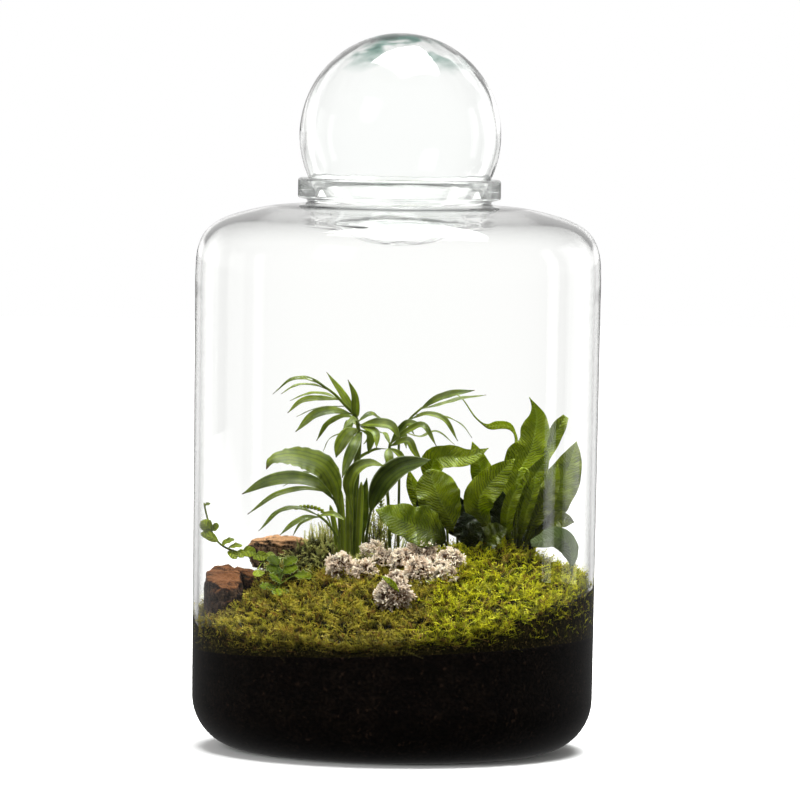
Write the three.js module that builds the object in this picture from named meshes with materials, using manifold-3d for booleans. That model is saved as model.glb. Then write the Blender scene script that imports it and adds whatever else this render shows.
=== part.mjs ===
// A planted glass jar with a blown glass ball as its stopper.
// Millimetres, +Z up. The origin is the centre of the jar's flat foot, on the surface it stands on.
// The front of the planting looks along -Y, and +X is to its right.
import * as THREE from "three";
import { mergeVertices } from "three/addons/utils/BufferGeometryUtils.js";
import Module from "manifold-3d";

const wasm = await Module();
wasm.setup();

// Driving dimensions of the glass
const SEGMENTS = 32;
const FOOT_RADIUS = 109.5;
const CORNER_RADIUS = 39;
const INNER_CORNER_RADIUS = 31;
const FLOOR_THICKNESS = 8;
const WALL_LOW = 148.5;
const WALL_HIGH = 150;
const WALL_THICKNESS = 4;
const WALL_TOP = 352;
const LIP_TOP = 422.5;
const LIP_INNER = 67.75;
const BALL_RADIUS = 74.5;
const BALL_HALF_HEIGHT = 75.5;
const BALL_CENTRE = 454.6;
const BALL_WALL = 3;
const BLOW_HOLE = 5;

// Clearances and the least thickness of a blade
const GAP = 0.3;
const ROOT_CLEARANCE = 0.6;
const BLADE = 0.9;
const STIPE = 1.9;
const NARROW = 6.2;
const ROOT_DEPTH = 10;
const CROWN_ROOT_DEPTH = 6;
const UPRIGHT_START = 2.5;
const HOLE_HEADROOM = 30;

// The ground: rings of the polar grid that soil and moss share, as shares of the radius
const GROUND_RINGS = [0.25, 0.5, 0.7, 0.86, 1];
const MOSS_THICKNESS = 14;
const GROUND_CORE = 139;
const OVER_GROUND = 220;
const FAR_LEFT = -160;
const FAR_RIGHT = 160;
const FAR_BACK = 150;

const COLOURS = {
  glass: 0xe8f1ee,
  soil: 0x15100c,
  moss_bright: 0x7f8420,
  moss_olive: 0x6d6428,
  moss_pale: 0x87893f,
  rust_stone: 0x8a6144,
  dark_stone: 0x74563f,
  lichen: 0xd8c6ad,
  palm: 0x3f6a22,
  palm_dark: 0x23451c,
  fern: 0x5d7a1e,
  fern_dark: 0x24401a,
  fig: 0x6a8f2a,
  ivy: 0x3f7a35,
  peat: 0x1c1610,
};

const object = new THREE.Group();

const vector = ([x, y, z]) => new THREE.Vector3(x, y, z);
const radians = THREE.MathUtils.degToRad;
const curveThrough = (points) => new THREE.CatmullRomCurve3(points.map(vector), false, "centripetal");

// A repeatable row of numbers between 0 and 1
function seeded(seed) {
  let state = seed;
  return () => {
    state = (state * 16807) % 2147483647;
    return state / 2147483647;
  };
}

function solidOf(geometry) {
  const plain = geometry.clone();
  plain.deleteAttribute("normal");
  plain.deleteAttribute("uv");
  const merged = mergeVertices(plain, 1e-4);
  const mesh = new wasm.Mesh({
    numProp: 3,
    vertProperties: merged.attributes.position.array,
    triVerts: new Uint32Array(merged.index.array),
  });
  return new wasm.Manifold(mesh);
}

function geometryOf(solid) {
  const mesh = solid.getMesh();
  const geometry = new THREE.BufferGeometry();
  geometry.setAttribute("position", new THREE.BufferAttribute(mesh.vertProperties, mesh.numProp));
  geometry.setIndex(new THREE.BufferAttribute(mesh.triVerts, 1));
  geometry.computeVertexNormals();
  return geometry;
}

const fuse = (solids) => solids.reduce((whole, next) => whole.add(next));

// The one body that stays when a cut has left loose scraps
function largest(solid) {
  return solid.decompose().reduce((best, next) => (next.volume() > best.volume() ? next : best));
}

function addNode(name, solid, colour, roughness = 0.6) {
  const material = new THREE.MeshStandardMaterial({ color: COLOURS[colour], roughness, metalness: 0 });
  if (colour === "glass") {
    material.transparent = true;
    material.opacity = 0.3;
  }
  const mesh = new THREE.Mesh(geometryOf(solid), material);
  mesh.name = name;
  object.add(mesh);
}

// A closed solid over a row of loops with the same number of points. faceSplit says for each edge
// of the loop which way its four-cornered face is divided, and caps are the loops' own triangles.
function loft(loops, caps, faceSplit = () => false) {
  const count = loops[0].length;
  const at = (loop, k) => loop * count + (k % count);
  const triangles = [];
  for (let i = 0; i + 1 < loops.length; i += 1) {
    for (let k = 0; k < count; k += 1) {
      const [a, b, c, d] = [at(i, k), at(i, k + 1), at(i + 1, k + 1), at(i + 1, k)];
      if (faceSplit(k)) triangles.push([a, b, d], [b, c, d]);
      else triangles.push([a, b, c], [a, c, d]);
    }
  }
  const last = loops.length - 1;
  caps.forEach(([p, q, r]) => {
    triangles.push([at(0, r), at(0, q), at(0, p)], [at(last, p), at(last, q), at(last, r)]);
  });
  return closedSolid(loops.flat(), triangles);
}

function closedSolid(points, triangles) {
  const signedVolume = triangles.reduce((sum, [a, b, c]) => {
    return sum + points[a].dot(points[b].clone().cross(points[c]));
  }, 0);
  const outward = triangles.map(([a, b, c]) => (signedVolume < 0 ? [a, c, b] : [a, b, c]));
  const geometry = new THREE.BufferGeometry().setFromPoints(points);
  geometry.setIndex(outward.flat());
  return solidOf(geometry);
}

// A closed solid of level rings between a lowest and a highest point. turned says for each ring
// whether the faces above it are divided the other way.
function ringedSolid(bottom, rings, top, turned = () => false) {
  const count = rings[0].length;
  const points = [bottom, ...rings.flat(), top];
  const at = (ring, k) => 1 + ring * count + (k % count);
  const triangles = [];
  for (let k = 0; k < count; k += 1) {
    triangles.push([0, at(0, k + 1), at(0, k)]);
    triangles.push([points.length - 1, at(rings.length - 1, k), at(rings.length - 1, k + 1)]);
    for (let i = 0; i + 1 < rings.length; i += 1) {
      const [a, b, c, d] = [at(i, k), at(i, k + 1), at(i + 1, k + 1), at(i + 1, k)];
      if (turned(i)) triangles.push([a, b, d], [b, c, d]);
      else triangles.push([a, b, c], [a, c, d]);
    }
  }
  return closedSolid(points, triangles);
}

function revolve(profile) {
  const points = profile.map(([r, z]) => new THREE.Vector2(r, z));
  return solidOf(new THREE.LatheGeometry(points, SEGMENTS).rotateX(Math.PI / 2));
}

// Points of an arc in the profile plane, both ends included
function arc(centreRadius, centreHeight, radius, fromDegrees, toDegrees, steps, radiusUp = radius) {
  return Array.from({ length: steps + 1 }, (_, i) => {
    const angle = radians(fromDegrees + ((toDegrees - fromDegrees) * i) / steps);
    return [centreRadius + radius * Math.cos(angle), centreHeight + radiusUp * Math.sin(angle)];
  });
}

// Glass jar: foot, straight wall, rounded shoulder, short neck and a squared lip
const INNER_WALL_LOW = WALL_LOW - WALL_THICKNESS;
const INNER_WALL_HIGH = WALL_HIGH - WALL_THICKNESS;
const INNER_CORNER_CENTRE = INNER_WALL_LOW - INNER_CORNER_RADIUS;
const INNER_WALL_BOTTOM = FLOOR_THICKNESS + INNER_CORNER_RADIUS;

function innerWallRadius(z) {
  const share = (z - INNER_WALL_BOTTOM) / (WALL_TOP - INNER_WALL_BOTTOM);
  return INNER_WALL_LOW + share * (INNER_WALL_HIGH - INNER_WALL_LOW);
}

function jarSolid() {
  const outside = [
    [0, 0],
    ...arc(FOOT_RADIUS, CORNER_RADIUS, CORNER_RADIUS, -90, 0, 4),
    [WALL_HIGH, WALL_TOP],
    [148.6, 369],
    [143.3, 381.5],
    [131.5, 391],
    [99, 400.7],
    [66.8, 404],
    [74.8, 408.4],
    [75, LIP_TOP - 1],
    [73.8, LIP_TOP],
  ];
  const inside = [
    [LIP_INNER, LIP_TOP],
    [62.6, 403],
    [97, 396.6],
    [129.5, 387],
    [140, 378.5],
    [144.7, 367.5],
    [INNER_WALL_HIGH, WALL_TOP],
    ...arc(INNER_CORNER_CENTRE, INNER_WALL_BOTTOM, INNER_CORNER_RADIUS, 0, -90, 3),
    [0, FLOOR_THICKNESS],
  ];
  return revolve([...outside, ...inside]);
}

// Ball: a hollow blown sphere, open only at the small blow hole underneath. It rests on the rim
// of the lip, so its profile has a point at that height.
function ballSolid() {
  const innerRadius = BALL_RADIUS - BALL_WALL;
  const innerHalfHeight = BALL_HALF_HEIGHT - BALL_WALL;
  const degrees = THREE.MathUtils.radToDeg;
  const outerStart = -90 + degrees(Math.asin(BLOW_HOLE / BALL_RADIUS));
  const innerStart = -90 + degrees(Math.asin(BLOW_HOLE / innerRadius));
  const seat = degrees(Math.asin((LIP_TOP - BALL_CENTRE) / BALL_HALF_HEIGHT));
  const profile = [
    ...arc(0, BALL_CENTRE, innerRadius, 90, innerStart, 6, innerHalfHeight),
    ...arc(0, BALL_CENTRE, BALL_RADIUS, outerStart, seat, 3, BALL_HALF_HEIGHT),
    ...arc(0, BALL_CENTRE, BALL_RADIUS, seat, 90, 6, BALL_HALF_HEIGHT).slice(1),
  ];
  return revolve(profile.map(([r, z]) => [r < 1e-6 ? 0 : r, z]));
}

// Ground heights. The soil's edge shows through the glass, and moss covers all of the top.
function soilEdge(angle) {
  return 80.2 + 6.5 * Math.cos(angle) - Math.sin(angle);
}

function mossEdge(angle) {
  return 104 + 14 * Math.cos(angle) + 9 * Math.sin(angle) + 8 * Math.cos(2 * angle);
}

const mound = (x, y, cx, cy, wx, wy) => Math.exp(-(((x - cx) / wx) ** 2) - ((y - cy) / wy) ** 2);

function groundCore(x, y) {
  return GROUND_CORE + 30 * mound(x, y, 88, 8, 48, 42) + 34 * mound(x, y, -85, 28, 38, 38)
    + 14 * mound(x, y, -54, 26, 26, 24) + 12 * mound(x, y, -13, -20, 18, 14);
}

function inwardShare(x, y) {
  return 1 - Math.min(Math.hypot(x, y) / INNER_WALL_LOW, 1) ** 1.5;
}

function mossTop(x, y) {
  const edge = mossEdge(Math.atan2(y, x));
  const hummocks = 1.6 * Math.sin(x / 9 + 1) * Math.sin(y / 8) + 1.1 * Math.sin((x + y) / 5.3);
  return edge + (groundCore(x, y) - edge) * inwardShare(x, y) + hummocks;
}

function soilTop(x, y) {
  const edge = soilEdge(Math.atan2(y, x));
  return edge + (groundCore(x, y) - MOSS_THICKNESS - edge) * inwardShare(x, y);
}

// Angles of the grid agree with the facets of the jar
const groundAngle = (k) => radians(-90) + (k * 2 * Math.PI) / SEGMENTS;

function groundRing(share, height, lift = 0) {
  return Array.from({ length: SEGMENTS }, (_, k) => {
    const angle = groundAngle(k);
    const edge = innerWallRadius(height(INNER_WALL_LOW * Math.cos(angle), INNER_WALL_LOW * Math.sin(angle)));
    const radius = share * (edge - GAP);
    const [x, y] = [radius * Math.cos(angle), radius * Math.sin(angle)];
    return new THREE.Vector3(x, y, height(x, y) + lift);
  });
}

function levelRing(radius, z) {
  return Array.from({ length: SEGMENTS }, (_, k) => {
    return new THREE.Vector3(radius * Math.cos(groundAngle(k)), radius * Math.sin(groundAngle(k)), z);
  });
}

function soilSolid() {
  const corner = arc(INNER_CORNER_CENTRE, INNER_WALL_BOTTOM, INNER_CORNER_RADIUS - GAP, -90, 0, 3);
  const below = corner.map(([r, z]) => levelRing(r, z));
  const above = [...GROUND_RINGS].reverse().map((share) => groundRing(share, soilTop));
  const lowest = new THREE.Vector3(0, 0, FLOOR_THICKNESS + GAP);
  return ringedSolid(lowest, [...below, ...above], new THREE.Vector3(0, 0, soilTop(0, 0)));
}

function mossLayer() {
  const below = GROUND_RINGS.map((share) => groundRing(share, soilTop, GAP));
  const above = [...GROUND_RINGS].reverse().map((share) => groundRing(share, mossTop));
  const lowest = new THREE.Vector3(0, 0, soilTop(0, 0) + GAP);
  const highest = new THREE.Vector3(0, 0, mossTop(0, 0));
  return ringedSolid(lowest, [...below, ...above], highest, (ring) => ring < below.length - 1);
}

// An upright prism over an outline, used to part the moss and to cut holes
function prism(outline, low, high) {
  const shape = new THREE.Shape(outline.map(([x, y]) => new THREE.Vector2(x, y)));
  const settings = { depth: high - low, bevelEnabled: false };
  return solidOf(new THREE.ExtrudeGeometry(shape, settings).translate(0, 0, low));
}

const MEETING_POINT = [27, -24];
const MOSS_FRONT_LINE = [[20, -FAR_BACK], [26, -90], [34, -56], [33, -36]];
const MOSS_BACK_LINE = [[21, 12], [28, 60], [36, FAR_BACK]];
const MOSS_LEFT_END = 12;
const MOSS_LEFT_LINE = [[0, -31], [-40, -28], [-70, -11], [-95, 7], [-150, MOSS_LEFT_END]];
const HALF_SEAM = 0.25;

function mossPatches() {
  const layer = mossLayer();
  const shifted = (points, dx, dy) => points.map(([x, y]) => [x + dx, y + dy]);
  const right = [
    ...shifted(MOSS_FRONT_LINE, HALF_SEAM, 0),
    ...shifted([MEETING_POINT, ...MOSS_BACK_LINE], HALF_SEAM, 0),
    [FAR_RIGHT, FAR_BACK], [FAR_RIGHT, -FAR_BACK],
  ];
  const front = [
    [FAR_LEFT, -FAR_BACK],
    ...shifted(MOSS_FRONT_LINE, -HALF_SEAM, -HALF_SEAM),
    ...shifted([MEETING_POINT, ...MOSS_LEFT_LINE], -HALF_SEAM, -HALF_SEAM),
    [FAR_LEFT, MOSS_LEFT_END - HALF_SEAM],
  ];
  const back = [
    ...shifted([MEETING_POINT, ...MOSS_BACK_LINE], -HALF_SEAM, HALF_SEAM),
    [FAR_LEFT, FAR_BACK], [FAR_LEFT, MOSS_LEFT_END + HALF_SEAM],
    ...shifted(MOSS_LEFT_LINE, -HALF_SEAM, HALF_SEAM).reverse(),
  ];
  return {
    moss_right_mound: layer.intersect(prism(right, 0, OVER_GROUND)),
    moss_front_left: layer.intersect(prism(front, 0, OVER_GROUND)),
    moss_back_knoll: layer.intersect(prism(back, 0, OVER_GROUND)),
  };
}

// Cuts still to be made in the ground
const pockets = [];

function roundHole(x, y, low, high, radius) {
  const outline = arc(x, y, radius / Math.cos(radians(30)), 30, 330, 5);
  return prism(outline, low, high);
}

// A stone: level outlines that shrink or grow with height, under a sloping, chipped top
function stoneSolid({ outline, low, top, waist, seed, grow = 0 }) {
  const random = seeded(seed);
  const chips = outline.map(() => [random() - 0.5, random() - 0.5, random() - 0.5]);
  const cx = outline.reduce((sum, [x]) => sum + x, 0) / outline.length;
  const cy = outline.reduce((sum, [, y]) => sum + y, 0) / outline.length;
  const ring = (share, height, chip) => outline.map(([x, y], k) => {
    const reach = Math.hypot(x - cx, y - cy);
    const scale = share + grow / reach;
    const px = cx + (x - cx) * scale + chips[k][0] * chip;
    const py = cy + (y - cy) * scale + chips[k][1] * chip;
    return new THREE.Vector3(px, py, height(px, py) + chips[k][2] * chip);
  });
  const between = (share) => (x, y) => low + (top(x, y) - low) * share;
  return ringedSolid(
    new THREE.Vector3(cx, cy, low - grow),
    [
      ring(0.86, () => low - grow, 0),
      ring(waist, between(0.45), 1.5),
      ring(1, between(0.82), 1.2),
      ring(0.9, (x, y) => top(x, y) + grow, 1.2),
    ],
    new THREE.Vector3(cx, cy, top(cx, cy) + grow + 0.8),
  );
}

const STONES = {
  rock_standing: {
    outline: [[-138, -27], [-136, -35], [-126, -43], [-114, -44], [-110, -35], [-112, -23],
      [-122, -18], [-133, -20]],
    low: 88,
    top: (x, y) => 130 - 0.03 * (x + 140) + 0.7 * (y + 30),
    waist: 1.02,
    seed: 11,
  },
  rock_wedge: {
    outline: [[-119, -9], [-110, -12], [-99, -12], [-96, -3], [-105, 4], [-117, 1]],
    low: 104,
    top: (x, y) => 134 - 0.28 * (x + 119) + 0.2 * (y + 4),
    waist: 1.04,
    seed: 23,
  },
  rock_flat: {
    outline: [[-109, 25], [-100, 18], [-80, 17], [-65, 20], [-60, 30], [-67, 42], [-88, 46], [-105, 38]],
    low: 131,
    top: (x, y) => 154.5 - 0.006 * (x + 84) ** 2 + 0.05 * (y - 30),
    waist: 0.99,
    seed: 37,
  },
};

// The dark plug of peat under the tall leaves on the right
const PLUG = { x: 91, y: 18, radius: 15, low: 128, high: 152, sides: 14 };

function plugSolid(grow = 0) {
  const ring = (share, z) => Array.from({ length: PLUG.sides }, (_, k) => {
    const angle = (k * 2 * Math.PI) / PLUG.sides;
    const lump = 1 + 0.05 * Math.sin(3 * angle + z);
    const radius = PLUG.radius * share * lump + grow;
    return new THREE.Vector3(PLUG.x + radius * Math.cos(angle), PLUG.y + radius * Math.sin(angle), z);
  });
  return ringedSolid(
    new THREE.Vector3(PLUG.x, PLUG.y, PLUG.low - grow),
    [
      ring(0.85, PLUG.low - grow),
      ring(1, PLUG.low + 8),
      ring(1, PLUG.high - 2),
      ring(0.93, PLUG.high + grow),
    ],
    new THREE.Vector3(PLUG.x, PLUG.y, PLUG.high + grow + 0.5),
  );
}

// Outlines of blades: the half width at a share of the length, 1 at the widest
const powers = (a, b) => {
  const widest = a / (a + b);
  const most = widest ** a * (1 - widest) ** b;
  return (s) => (s <= 0 || s >= 1 ? 0 : (s ** a * (1 - s) ** b) / most);
};
const drawn = (...points) => (s) => {
  const next = Math.max(points.findIndex(([share]) => share >= Math.min(s, 1)), 1);
  const [[fromShare, fromHalf], [toShare, toHalf]] = [points[next - 1], points[next]];
  return THREE.MathUtils.lerp(fromHalf, toHalf, (s - fromShare) / (toShare - fromShare));
};
const FORMS = {
  lance: powers(0.95, 0.95),
  spear: powers(0.35, 0.9),
  broad: drawn([0, 0.1], [0.18, 0.62], [0.4, 1], [0.62, 0.94], [0.82, 0.6], [0.93, 0.28], [1, 0]),
  blunt: drawn([0, 0.1], [0.3, 0.7], [0.55, 1], [0.8, 0.86], [0.93, 0.5], [1, 0.1]),
  hood: drawn([0, 0.1], [0.2, 0.5], [0.38, 0.74], [0.53, 1], [0.6, 0.9], [0.66, 0.62], [0.75, 0.72],
    [0.85, 0.42], [0.92, 0.14], [1, 0]),
  forked: drawn([0, 0.2], [0.4, 0.5], [0.7, 1], [0.9, 0.9], [1, 0.4]),
  tailed: drawn([0, 0.2], [0.3, 0.3], [0.38, 0.9], [0.5, 1], [0.6, 0.22], [1, 0.1]),
  wavy: drawn([0, 0.15], [0.2, 0.7], [0.38, 1], [0.52, 0.76], [0.72, 0.72], [0.88, 0.4], [1, 0]),
  level: drawn([0, 0.3], [0.25, 1], [0.6, 0.95], [0.82, 0.55], [1, 0]),
  cape: drawn([0, 0.1], [0.14, 0.55], [0.3, 0.95], [0.5, 1], [0.75, 0.8], [1, 0.3]),
  strap: powers(0.45, 0.28),
  round: powers(0.5, 0.45),
};

// A leaf blade along a curve: two halves folded up from the midrib, with waved margins.
// A stipe takes the first share of the length, and a narrow blade is flat.
function blade({ path, width, form = "lance", face = [0, -0.8, 0.6], fold = 0.3, wave = 0, waves = 2,
  stipe = 0, steps = 4, flat = width < NARROW }) {
  const curve = curveThrough(path);
  const toward = vector(face).normalize();
  const halfWidth = FORMS[form];
  const loops = Array.from({ length: steps + 1 }, (_, i) => {
    const s = i / steps;
    const point = curve.getPointAt(s);
    const tangent = curve.getTangentAt(s);
    const side = tangent.clone().cross(toward).normalize();
    const normal = side.clone().cross(tangent).normalize();
    const inBlade = stipe < 1 ? Math.max((s - stipe) / (1 - stipe), 0) : 0;
    const least = inBlade > 0.5 ? 0.5 : THREE.MathUtils.lerp(stipe > 0 ? STIPE / 2 : 0.8, 0.5, inBlade * 2);
    const half = inBlade > 0 ? Math.max(halfWidth(inBlade) * (width / 2), least) : least;
    const spread = Math.min(half / (width / 2), 1);
    const thick = THREE.MathUtils.lerp(stipe > 0 ? STIPE : BLADE, BLADE, Math.min(inBlade * 4, 1)) / 2;
    const place = (across, up) => {
      const phase = across > 0 ? 0 : 2.2;
      const ruffle = wave * spread * Math.abs(across) * Math.sin(2 * Math.PI * waves * s + phase);
      const lift = Math.abs(across) * half * fold * spread + ruffle + up * thick;
      return point.clone().addScaledVector(side, across * half).addScaledVector(normal, lift);
    };
    if (flat) return [place(-1, 1), place(1, 1), place(1, -1), place(-1, -1)];
    return [place(-1, 1), place(0, 1), place(1, 1), place(1, -1), place(0, -1), place(-1, -1)];
  });
  if (flat) return loft(loops, [[0, 1, 2], [0, 2, 3]], (k) => k === 2);
  const caps = [[0, 1, 4], [0, 4, 5], [1, 2, 3], [1, 3, 4]];
  return loft(loops, caps, (k) => k === 3 || k === 4);
}

// A round stem along a curve, thinning towards its end
function stem({ path, radius, endRadius = radius, sides = 6, steps = 6 }) {
  const curve = curveThrough(path);
  const toward = new THREE.Vector3(0.31, -0.95, 0.05).normalize();
  const loops = Array.from({ length: steps + 1 }, (_, i) => {
    const s = i / steps;
    const point = curve.getPointAt(s);
    const tangent = curve.getTangentAt(s);
    const side = tangent.clone().cross(toward).normalize();
    const normal = side.clone().cross(tangent);
    const r = THREE.MathUtils.lerp(radius, endRadius, s);
    return Array.from({ length: sides }, (_unused, k) => {
      const angle = (2 * Math.PI * k) / sides;
      const outward = side.clone().multiplyScalar(Math.cos(angle)).addScaledVector(normal, Math.sin(angle));
      return outward.multiplyScalar(r).add(point);
    });
  });
  const caps = Array.from({ length: sides - 2 }, (_, k) => [0, k + 1, k + 2]);
  return loft(loops, caps);
}

// The upright start of a path that is rooted in the ground at (x, y), and its hole
function rooted(x, y, path, holeRadius) {
  const inPlug = Math.hypot(x - PLUG.x, y - PLUG.y) < PLUG.radius;
  const surface = inPlug ? PLUG.high : mossTop(x, y);
  const depth = inPlug ? CROWN_ROOT_DEPTH : ROOT_DEPTH;
  pockets.push(roundHole(x, y, surface - depth - GAP, surface + HOLE_HEADROOM, holeRadius));
  return [[x, y, surface - depth], [x, y, surface - depth / 2], [x, y, surface + UPRIGHT_START], ...path];
}

const stipeHole = STIPE * 0.71 + ROOT_CLEARANCE;

// Fern leaves: broad, waved, each on its own short stipe. A second leaf may rise from the same root.
const FORWARD = [0, -1, 0.25];

function fernLeaf({ root, path, second, ...rest }) {
  const whole = rooted(root[0], root[1], path, stipeHole);
  const usual = { steps: 8, form: "broad", face: FORWARD, stipe: 0.24, fold: 0.15, wave: 2 };
  const leaf = blade({ ...usual, ...rest, path: whole });
  if (!second) return leaf;
  return leaf.add(blade({ ...usual, ...rest, ...second, path: [whole[2], ...second.path] }));
}

const FERN_LEAVES = {
  fern_right_hood_leaf: {
    root: [92, 22], width: 32, form: "hood", stipe: 0.12, waves: 3, fold: 0.1, steps: 15,
    path: [[89, 23, 170], [89, 25, 188], [93, 26, 207], [101, 27, 223], [104, 28, 237], [105, 27, 248],
      [103, 24, 256], [99, 21, 263]],
  },
  fern_right_lobed_leaf: {
    root: [88, 14], width: 17,
    path: [[96, 15, 185], [103, 14, 202], [110, 12, 214], [114, 10, 223]],
  },
  fern_right_tailed_leaf: {
    root: [83, 24], width: 6.5, form: "tailed", stipe: 0.42, wave: 0.4, steps: 14,
    path: [[85, 33, 180], [88, 37, 215], [90, 38, 232], [85, 38, 240], [77, 38, 241], [69, 37, 240],
      [60, 35, 246], [48, 33, 262], [40, 32, 266]],
  },
  fern_right_forked_leaf: {
    root: [96, 27], width: 12, form: "forked", stipe: 0.3,
    path: [[101, 36, 184], [110, 41, 212], [117, 43, 228], [123, 44, 240], [128, 45, 248]],
  },
  fern_right_outer_leaf: {
    root: [101, 18], width: 30, stipe: 0.14, waves: 1.5, face: [-0.1, -1, 0.15], steps: 11,
    path: [[105, 12, 165], [111, 8, 177], [118, 4, 191], [126, 2, 205], [131, 0, 219], [134, -1, 231]],
  },
  fern_right_ruffled_leaf: {
    root: [98, 10], width: 17, wave: 2.4, waves: 3, stipe: 0.2, steps: 11,
    path: [[103, 3, 170], [110, 0, 185], [116, -4, 200], [120, -8, 214]],
  },
  fern_right_strap_leaf: {
    root: [86, 8], width: 10.5, form: "strap", stipe: 0.2, wave: 1.6, waves: 3,
    path: [[83, -6, 171], [86, -13, 187], [92, -16, 200]],
  },
  fern_right_tongue_leaf: {
    root: [93, 8], width: 9, form: "strap", stipe: 0.2, wave: 1.4, waves: 3,
    path: [[96, -3, 171], [100, -9, 187], [103, -12, 198], [103, -14, 205]],
  },
  fern_right_curled_leaf: {
    root: [82, 12], width: 24, form: "lance", waves: 2, stipe: 0.26, steps: 11,
    path: [[73, 5, 163], [63, -1, 177], [63, -6, 189], [71, -9, 200], [80, -10, 210], [88, -10, 218]],
  },
  fern_right_dark_leaf: {
    root: [81, 19], width: 22, stipe: 0.14,
    path: [[79, 14, 163], [78, 12, 178], [79, 12, 194]],
  },
  fern_right_shade_leaf: {
    root: [97, 23], width: 28, stipe: 0.3,
    path: [[105, 30, 168], [113, 34, 184], [119, 36, 200]],
  },
  fern_right_skirt_leaf: {
    root: [103.5, 13], width: 19, stipe: 0.26, face: [-0.2, -0.8, 0.5],
    path: [[108, 7, 162], [116, 1, 169], [125, -4, 172], [133, -7, 171]],
  },
  fern_right_back_leaf: {
    root: [91, 29], width: 26, face: [0, 0.5, 0.85],
    path: [[93, 38, 170], [99, 52, 190], [104, 66, 202], [106, 79, 200]],
  },
  fern_right_low_back_leaf: {
    root: [83, 28.5], width: 22, face: [-0.3, 0.4, 0.85],
    path: [[78, 38, 165], [68, 52, 174], [57, 64, 174]],
  },
  fern_mid_shade_leaf: {
    root: [62, 30], width: 34, stipe: 0.28,
    path: [[62, 30, 162], [63, 29, 174], [66, 28, 190]],
    second: { width: 26, stipe: 0.2, path: [[56, 28, 158], [47, 25, 172], [44, 24, 190]] },
  },
  fern_mid_low_leaf: {
    root: [63, -4], width: 22, stipe: 0.4, face: [0.1, -0.8, 0.6],
    path: [[66, -10, 153], [74, -16, 161], [83, -20, 166]],
  },
  fern_left_level_leaf: {
    root: [40, 10], width: 18, form: "level", stipe: 0.5, waves: 1.5, steps: 14,
    path: [[38, 12, 170], [31, 14, 188], [27, 12, 203], [29, 9, 215], [40, 6, 218], [54, 6, 218],
      [69, 7, 225]],
  },
  fern_left_back_leaf: {
    root: [52, 12], width: 18, stipe: 0.4, steps: 10,
    path: [[59, 17, 166], [66, 20, 184], [66, 22, 200], [62, 21, 214], [57, 20, 229]],
  },
  fern_left_broad_leaf: {
    root: [47, 0], width: 33, form: "blunt", waves: 1.5, stipe: 0.32, steps: 11,
    path: [[46, -4, 162], [39, -7, 176], [33, -8, 187], [29, -7, 197], [25, -5, 209]],
  },
  fern_left_glossy_leaf: {
    root: [40, -8], width: 35, form: "wavy", stipe: 0.3, face: [0, -0.9, 0.45], steps: 12,
    path: [[37, -17, 156], [29, -24, 163], [15, -28, 168], [1, -31, 174], [-14, -32, 180]],
  },
  fern_left_low_leaf: {
    root: [54, -9], width: 21, stipe: 0.36,
    path: [[55, -11, 154], [54, -12, 165], [51, -12, 178]],
    second: { width: 17, stipe: 0.2, path: [[57, -15, 155], [58, -21, 163], [63, -26, 171]] },
  },
  fern_left_pale_leaf: {
    root: [31, 8], width: 14, form: "lance", stipe: 0.3,
    path: [[28, 7, 169], [19, 9, 185], [13, 10, 196], [10, 10, 208]],
  },
  fern_left_slender_leaf: {
    root: [36, 0], width: 13, form: "lance", stipe: 0.3,
    path: [[33, 2, 161], [25, 1, 173], [20, 1, 183], [19, 1, 192]],
  },
};

const DARK_FERN = ["fern_right_dark_leaf", "fern_right_shade_leaf", "fern_right_low_back_leaf",
  "fern_mid_shade_leaf", "fern_left_low_leaf", "fern_left_slender_leaf"];

// A young leaf still coiled at its tip
function fiddleheadSolid() {
  const path = rooted(90, 6, [[90, 2, 171], [93, -3, 194], [98, -6, 204], [98, -6, 209], [94, -7, 211],
    [91, -7, 208]], 1.1 + ROOT_CLEARANCE);
  return stem({ path, radius: 1.1, endRadius: 0.9, sides: 5, steps: 12 });
}

// Palms: a stem with its leaflets fused to it
function leafyStem({ stems, leaflets }) {
  const stemSolids = stems.map((spec) => stem(spec));
  const leafletSolids = leaflets.map(([width, form, face, ...path]) => blade({ path, width, form, face }));
  return fuse([...stemSolids, ...leafletSolids]);
}

const FRONT = [0, -0.85, 0.5];
const UP = [0, -0.45, 0.9];
const BACK = [0, 0.3, 0.95];

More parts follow.
